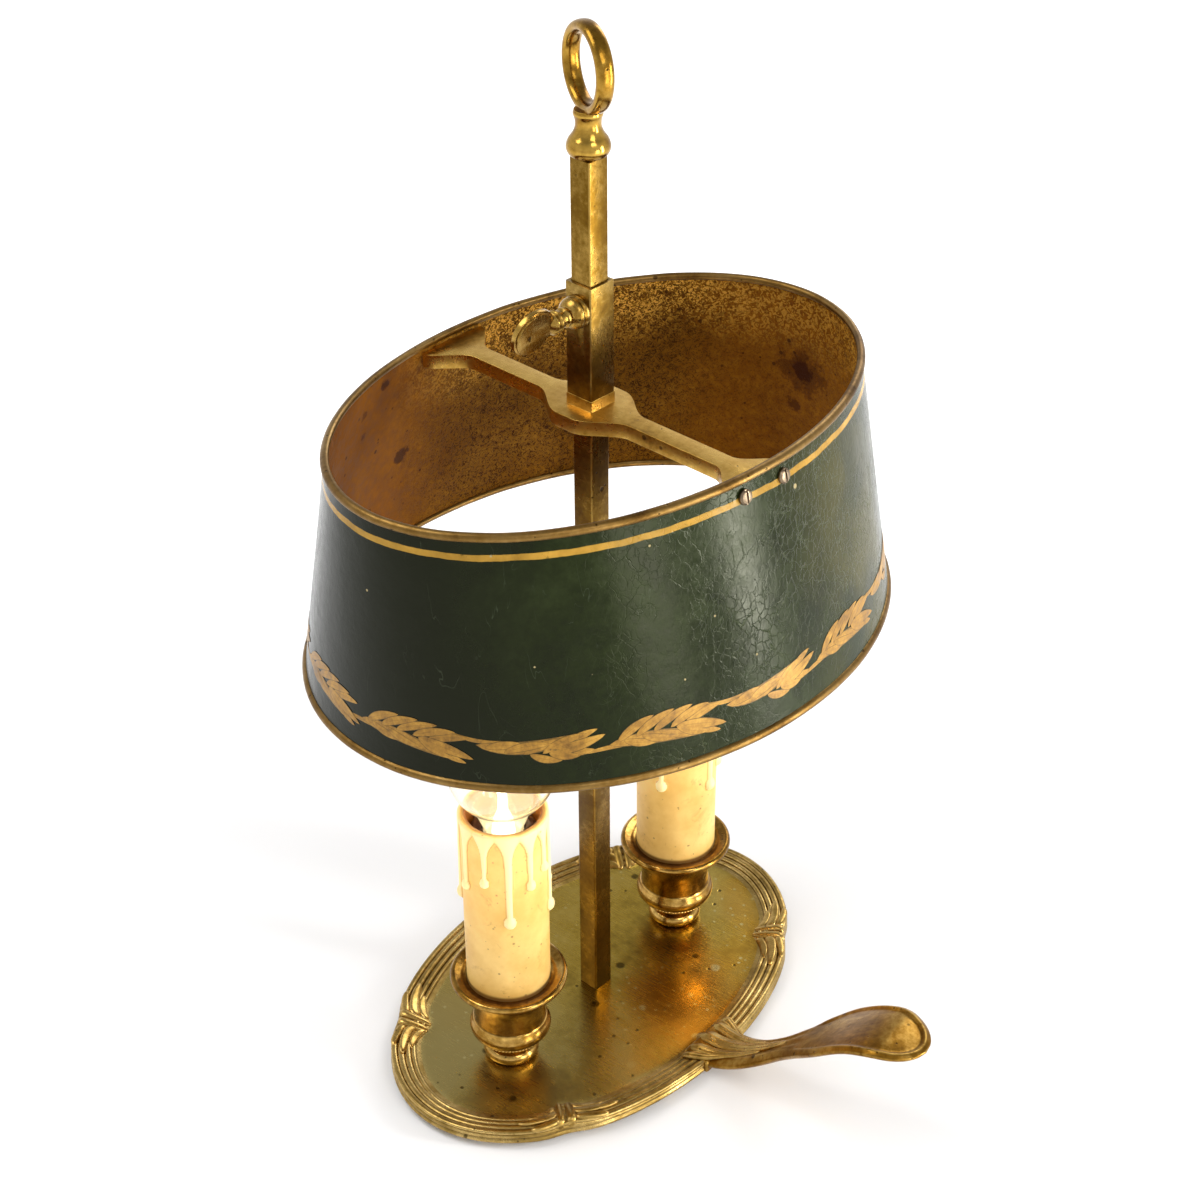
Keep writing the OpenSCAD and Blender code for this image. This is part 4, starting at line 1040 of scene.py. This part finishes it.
def candle_sleeve(side, letter):
    turn = 0 if side > 0 else 31
    inner = CANDLE_R - CANDLE_WALL
    # More rows near the top, where the drips are.
    outer = [(CANDLE_R, CANDLE_FOOT), (CANDLE_R, CANDLE_FOOT + 20)] + [
        (CANDLE_R, mix(CANDLE_FOOT + 38, CANDLE_TOP - 0.9, k / 90)) for k in range(91)]
    lip = [(CANDLE_R - 0.25, CANDLE_TOP - 0.3), (CANDLE_R - 0.9, CANDLE_TOP),
           (inner + 0.6, CANDLE_TOP - 0.1), (inner, CANDLE_TOP - 0.7)]
    bore = [(inner, CANDLE_TOP - 20), (inner, CANDLE_FOOT)]
    bm = turned(outer + lip + bore, 216, closed=True)
    drip = bm.verts.layers.float.new("drip")
    hidden = bm.verts.layers.float.new("inside")
    for v in bm.verts:
        x, y, z = v.co / MM
        r = math.hypot(x, y)
        degrees = math.degrees(math.atan2(y, x))
        depth = CANDLE_TOP - z
        if r > CANDLE_R - 1.2:
            ripple = 0.12 * noise.noise(Vector((x, y, z)) * 0.16)
            wax_h = drip_height(degrees, max(0.0, depth - 0.6), turn) * smooth(
                (r - CANDLE_R + 1.2) / 0.9)
            v[drip] = clamp(wax_h / 1.2)
            k = (r + wax_h + ripple) / r
            dip = 0.35 * noise.noise(Vector((x, y, 0)) * 0.22) if depth < 1.2 else 0
            v.co = Vector((x * k, y * k, z + dip)) * MM
        else:
            v[hidden] = 1.0
    bm = at_candle(bm, side)
    return finished("candle_sleeve_" + letter, bm, WAX, "base",
                    ["candle_" + letter], wear=0, smooth_angle=60)


def socket(letter):
    bm = solid_copy("lampholder_" + letter)
    return finished("bulb_socket_" + letter, bm, HOLDER, "base",
                    ["lampholder_" + letter], wear=0, smooth_angle=40)


GLOBE_R, GLOBE_LIFT, CAP_TOP = 22.5, 55.5, 24.5


def globe(side, letter):
    neck = 13.9 / 2 + 0.45
    c = GLOBE_LIFT

    def line(t):
        throat = curve_through([(neck - t, CAP_TOP - 2), (neck - t, CAP_TOP),
                                (neck + 1.3 - t, CAP_TOP + 2.4), (10.4 - t, c - 24),
                                (11.8 - t, c - 20.6)], 4)
        ball = [((GLOBE_R - t) * math.cos(math.radians(a)),
                 c + (GLOBE_R - t) * math.sin(math.radians(a))) for a in range(-57, 90, 3)]
        return throat[:-1] + ball + [(0, c + GLOBE_R - t)]

    profile = line(0) + line(0.6)[::-1]
    bm = turned([(r, z + BULB_BASE) for r, z in profile], 72, closed=True)
    bm = at_candle(bm, side)
    return finished("bulb_globe_" + letter, bm, GLASS, "bulb_" + letter,
                    ["bulb_glass_" + letter], wear=0, smooth_angle=60)


# ---------- stem, carriage and finial ----------

def turn_head(bm):
    bmesh.ops.rotate(bm, verts=bm.verts, cent=(0, 0, 0),
                     matrix=Matrix.Rotation(HEAD_TURN, 3, "Z"))
    return bm


FINIAL_Z, RING_R, RING_TURN = 401.5, 14.65, -26


def finial():
    base = FINIAL_Z
    ball = curve_through([(0, 0), (5.2, 0), (7.0, 0.9), (8.1, 2.8), (8.2, 4.6), (7.4, 6.8),
                          (6.4, 8.2), (5.7, 9.3), (5.0, 11.0), (4.85, 12.8), (5.1, 14.6),
                          (5.6, 16.4), (5.2, 17.8), (0, 18.2)], 4, sharp=(1, 12))
    neck = turn_head(turned([(x, z + base) for x, z in ball], 64))
    centre_z = base + 16.2 + 16.8
    ring = []
    for i in range(40):
        t = math.tau * i / 40
        c, s = math.cos(t), math.sin(t)
        # A soft ridge runs round the outside of the ring.
        ring.append((RING_R + 2.15 * math.copysign(abs(c) ** 0.85, c),
                     3.4 * math.copysign(abs(s) ** 0.85, s)))
    hoop = turned(ring, 128, closed=True)
    bmesh.ops.rotate(hoop, verts=hoop.verts, matrix=Matrix.Rotation(math.pi / 2, 3, "Y"))
    bmesh.ops.rotate(hoop, verts=hoop.verts,
                     matrix=Matrix.Rotation(math.radians(RING_TURN), 3, "Z"))
    bmesh.ops.translate(hoop, verts=hoop.verts, vec=(0, 0, centre_z * MM))
    return finished("finial_ring", join([neck, hoop]), BRASS["polished"], "base",
                    ["finial"], wear=1.5, smooth_angle=60)


def metal_copy(name, node, material, body, bevel, segments=3, angle=25, wear=1.2):
    return finished(name, solid_copy(node, bevel, segments, angle), material, body,
                    [node], wear=wear, smooth_angle=35)


# ---------- shade ----------

SHIFT_X, SHIFT_Y = 3.0, -3.5
TOP_HALF, BOTTOM_HALF = (121.0, 81.0), (131.0, 103.5)
EDGE_R, SHEET_T = 1.7, 0.8
SHEET_ROWS, OVAL_STEPS = 30, 300
SHEET_LOW, SHEET_HIGH, SHEET_WAVE = SHADE_BOTTOM + 2.4, SHADE_TOP - 2.4, 0.4


def shade_half(z):
    u = (SHADE_TOP - z) / (SHADE_TOP - SHADE_BOTTOM)
    return mix(TOP_HALF[0], BOTTOM_HALF[0], u), mix(TOP_HALF[1], BOTTOM_HALF[1], u)


def on_shade(t, z, out=0.0):
    """A point on the shade's uneven outer face, out mm proud of it; t is in radians."""
    a, b = shade_half(z)
    even = smooth((z - SHEET_LOW) / 12) * smooth((SHEET_HIGH - z) / 12)
    out += SHEET_WAVE * even * noise.noise(
        Vector((a * math.cos(t), b * math.sin(t), z * 0.8)) * 0.022)
    p = Vector((SHIFT_X + (a + out) * math.cos(t), SHIFT_Y + (b + out) * math.sin(t), z))
    p.rotate(Matrix.Rotation(HEAD_TURN, 3, "Z"))
    return p


def oval_spin(profile):
    """A profile of (inset, height), spun and laid along the shade's oval."""
    reach = 200.0
    bm = turned([(reach - i, z) for i, z in profile], OVAL_STEPS, closed=True)
    return warp(bm, lambda x, y, z: on_shade(math.atan2(y, x), z, math.hypot(x, y) - reach))


def shade_sheet():
    steps = [k / SHEET_ROWS for k in range(SHEET_ROWS + 1)]
    outer = [(0, mix(SHEET_LOW, SHEET_HIGH, u)) for u in steps]
    inner = [(SHEET_T, mix(SHEET_HIGH, SHEET_LOW, u)) for u in steps]
    bm = oval_spin(outer + inner)
    piece = finished("shade_sheet", bm, painted_outside(), "carriage",
                     ["shade_panel"], wear=0, smooth_angle=40)
    piece.data.materials.append(gilded_inside())
    for face in piece.data.polygons:
        c = face.center
        if face.normal.x * (c.x - SHIFT_X * MM) + face.normal.y * (c.y - SHIFT_Y * MM) < 0:
            face.material_index = 1
    return piece


def shade_edge(name, zc, node):
    ring = []
    for k in range(20):
        a = k * math.tau / 20
        ring.append((SHEET_T / 2 - EDGE_R * math.cos(a), zc + EDGE_R * math.sin(a)))
    bm = oval_spin(ring)
    for v in bm.verts:
        p = v.co / MM
        v.co = (p + Vector((0, 0, 0.15 * noise.noise(p * 0.06)))) * MM
    return finished(name, bm, BRASS["edge"], "carriage", [node], wear=0,
                    smooth_angle=60)


# ---------- garland ----------

def arc_table():
    """Arc length against angle along the oval, 20 mm above the lower edge."""
    a, b = shade_half(SHADE_BOTTOM + 20)
    table, total, last = [], 0.0, None
    for k in range(1441):
        t = math.radians(-90 + k * 0.25)
        p = Vector((a * math.cos(t), b * math.sin(t), 0))
        if last is not None:
            total += (p - last).length
        table.append((total, t))
        last = p
    return table


GARLAND_START, SPRAYS = -189.0, 15
ARC = arc_table()
GIRTH = ARC[-1][0]


def angle_at(distance):
    distance %= GIRTH
    low, high = 0, len(ARC) - 1
    while high - low > 1:
        middle = (low + high) // 2
        if ARC[middle][0] <= distance:
            low = middle
        else:
            high = middle
    (d0, t0), (d1, t1) = ARC[low], ARC[high]
    return mix(t0, t1, (distance - d0) / (d1 - d0))


def blade(start, heading, length, width, level, bend=0.0):
    """One painted leaf blade from start = (along, up), pointing along heading in degrees."""
    bm = bmesh.new()
    bmesh.ops.create_grid(bm, x_segments=14, y_segments=6, size=1)
    leaf = bm.verts.layers.float.new("leaf")
    for v in bm.verts:
        u, w = (v.co.x + 1) / 2, v.co.y
        half = width / 2 * math.sin(math.pi * clamp(u) ** 0.85) ** 0.7
        v[leaf] = min(1 - abs(w), u * 9, (1 - u) * 9)
        a = math.radians(heading + bend * u)
        x = u * length
        along = start[0] + x * math.cos(a) - w * half * math.sin(a)
        rise = start[1] + x * math.sin(a) + w * half * math.cos(a)
        out = 0.04 + 0.05 * level + 0.04 * clamp(v[leaf])
        v.co = on_shade(angle_at(along), SHADE_BOTTOM + rise, out) * MM
    bmesh.ops.remove_doubles(bm, verts=bm.verts, dist=0.002 * MM)
    return bm


def spray(start, rising, length=57.0):
    """A laurel spray: a bowed leaf with pointed lobes swept forwards from it."""
    middle, first, last = (15.8, 28, 20) if rising else (18.4, -16, -20)

    def stem(u):
        return start + u * length, middle + (first if u < 0.5 else last) * (u - 0.5) ** 2

    def heading(u):
        a, b = stem(u - 0.01), stem(u + 0.01)
        return math.degrees(math.atan2(b[1] - a[1], b[0] - a[0]))

    parts = [blade(stem(0), heading(0.12), length * 0.36, 1.8, 0, heading(0.4) - heading(0.1)),
             blade(stem(0.16), heading(0.35), length * 0.68, 5.4, 1,
                   (heading(0.8) - heading(0.35)) * 0.7),
             blade(stem(0.62), heading(0.72), length * 0.38, 4.4, 3,
                   (heading(0.95) - heading(0.72)) * 0.6)]
    for k, u in enumerate((0.22, 0.34, 0.46, 0.58, 0.68)):
        size = 12.5 + 5.5 * math.sin(math.pi * (u + 0.05))
        parts.append(blade(stem(u), heading(u) + 33, size, 3.6, k % 2 + 2, -14))
        if not rising or u > 0.4:
            parts.append(blade(stem(u + 0.04), heading(u) - (26 if rising else 34),
                               size * (0.66 if rising else 0.85), 3.3, k % 2 + 2, 14))
    return parts


def garland():
    parts = []
    for k in range(SPRAYS):
        parts += spray(GARLAND_START + k * GIRTH / SPRAYS, k % 2 == 1)
    return finished("garland", join(parts), GARLAND, "carriage", wear=0,
                    smooth_angle=180)


# ---------- building it all ----------

tray_body()
ribbon_ties()
handle_paddle()
handle_leaf()
for side, letter in ((-1, "a"), (1, "b")):
    cup(side, letter)
    candle_sleeve(side, letter)
    socket(letter)
    globe(side, letter)
finial()
metal_copy("square_stem", "stem", BRASS["stem"], "base", 0.25, 2)
metal_copy("sliding_sleeve", "slide_sleeve", BRASS["sleeve"], "carriage", 0.2, 2)
metal_copy("domed_boss", "screw_boss", BRASS["fitting"], "carriage", 0.3)
metal_copy("clamp_screw", "thumbscrew", BRASS["fitting"], "thumbscrew", 0.35)
metal_copy("shade_arm", "cross_arm", BRASS["arm"], "carriage", 1.1, 4, 40)
metal_copy("arm_screws", "shade_screws", STEEL_DARK, "carriage", 0.15, 2)
shade_sheet()
shade_edge("shade_rim_top", SHADE_TOP - EDGE_R, "shade_top_edge")
shade_edge("shade_rim_bottom", SHADE_BOTTOM + EDGE_R, "shade_bottom_edge")
garland()


# ---------- floor, light and camera ----------

def seen_ray(tree):
    """1 for rays from the camera, in gloss and through glass, else 0."""
    path = tree.nodes.new("ShaderNodeLightPath")
    value = path.outputs["Is Camera Ray"]
    for name in ("Is Glossy Ray", "Is Transmission Ray"):
        node = tree.nodes.new("ShaderNodeMath")
        node.operation = "MAXIMUM"
        tree.links.new(value, node.inputs[0])
        tree.links.new(path.outputs[name], node.inputs[1])
        value = node.outputs[0]
    return value


def floor_look():
    """White paper, a little whiter to the eye than its own light makes it."""
    look = Look("floor white")
    look.surface((0.90, 0.90, 0.905), 0.9, Specular_IOR_Level=0.1)
    away = look.add("ShaderNodeVectorMath", operation="LENGTH")
    look.link(look.place, away.inputs[0])
    lift = look.step(away.outputs["Value"], 0.14, 0.7, *FLOOR_LIFT)
    look.put(look.shader.inputs["Emission Color"], (1, 1, 1))
    look.put(look.shader.inputs["Emission Strength"],
             look.times(lift, seen_ray(look.tree)))
    return look.material


FLOOR_LIFT = (0.03, 0.56)
WORLD_LIGHT, OVERHEAD_LIGHT = 0.55, 0.42
# Name, place, aim, width and height, power: a soft key from behind on the left, a tall narrow
# box in front on the right for the sheen on the shade, a broad weak one beside it.
SOFTBOXES = (
    ("key", (-0.6, 0.6, 1.6), (0, 0, 0.15), (0.9, 0.9), 13),
    ("front", (-0.35, -1.15, 1.35), (0, 0, 0.25), (0.6, 0.6), 5),
    ("tall", (0.40, -0.92, 0.30), (0, 0, 0.27), (0.13, 0.62), 7.0),
    ("broad", (-0.08, -1.05, 0.26), (0, 0, 0.27), (0.30, 0.52), 3.0),
    ("right", (1.1, 0.2, 0.9), (0, 0, 0.2), (0.5, 0.7), 4),
)


def studio():
    bm = bmesh.new()
    bmesh.ops.create_grid(bm, x_segments=1, y_segments=1, size=4.0)
    mesh = bpy.data.meshes.new("floor")
    bm.to_mesh(mesh)
    bm.free()
    mesh.materials.append(floor_look())
    floor = bpy.data.objects.new("floor", mesh)
    scene.collection.objects.link(floor)

    # A white world, darker overhead, so that metal has something to show.
    world = bpy.data.worlds.new("studio")
    scene.world = world
    world.use_nodes = True
    tree = world.node_tree
    background = tree.nodes["Background"]
    direction = tree.nodes.new("ShaderNodeTexCoord")
    split = tree.nodes.new("ShaderNodeSeparateXYZ")
    tree.links.new(direction.outputs["Generated"], split.inputs[0])
    overhead = tree.nodes.new("ShaderNodeMapRange")
    overhead.interpolation_type = "SMOOTHSTEP"
    tree.links.new(split.outputs[2], overhead.inputs["Value"])
    for name, value in (("From Min", 0.15), ("From Max", 0.85), ("To Min", 1.0),
                        ("To Max", OVERHEAD_LIGHT)):
        overhead.inputs[name].default_value = value
    level = tree.nodes.new("ShaderNodeMapRange")
    tree.links.new(seen_ray(tree), level.inputs["Value"])
    level.inputs["To Min"].default_value = WORLD_LIGHT
    tree.links.new(overhead.outputs[0], level.inputs["To Max"])
    background.inputs["Color"].default_value = (1, 1, 1, 1)
    tree.links.new(level.outputs[0], background.inputs["Strength"])

    for name, place, aim, size, power in SOFTBOXES:
        light = bpy.data.lights.new(name, "AREA")
        light.shape = "RECTANGLE"
        light.size, light.size_y = size
        light.energy = power
        lamp = bpy.data.objects.new(name, light)
        scene.collection.objects.link(lamp)
        lamp.visible_camera = False
        lamp.location = place
        lamp.rotation_euler = (Vector(aim) - Vector(place)).to_track_quat("-Z", "Y").to_euler()


CAMERA_ANGLES = (-50.39, 33.25, -0.38)
CAMERA_DISTANCE, CAMERA_RIGHT, CAMERA_UP, CAMERA_AIM_Z = 933.0, 3.0, 6.6, 203.5
CAMERA_LENS = 69.1


def camera():
    azimuth, elevation, roll = (math.radians(v) for v in CAMERA_ANGLES)
    back = Vector((math.sin(azimuth) * math.cos(elevation),
                   -math.cos(azimuth) * math.cos(elevation), math.sin(elevation)))
    level_right = Vector((math.cos(azimuth), math.sin(azimuth), 0))
    level_up = back.cross(level_right)
    right = level_right * math.cos(roll) + level_up * math.sin(roll)
    up = level_up * math.cos(roll) - level_right * math.sin(roll)
    place = (Vector((0, 0, CAMERA_AIM_Z)) + back * CAMERA_DISTANCE
             + right * CAMERA_RIGHT + up * CAMERA_UP)
    data = bpy.data.cameras.new("view")
    data.sensor_width = 36
    data.lens = CAMERA_LENS
    data.clip_start = 0.01
    cam = bpy.data.objects.new("view", data)
    scene.collection.objects.link(cam)
    turn = Matrix((right, up, back)).transposed().to_4x4()
    cam.matrix_world = Matrix.Translation(place * MM) @ turn
    scene.camera = cam


studio()
camera()
scene.view_settings.view_transform = "Standard"
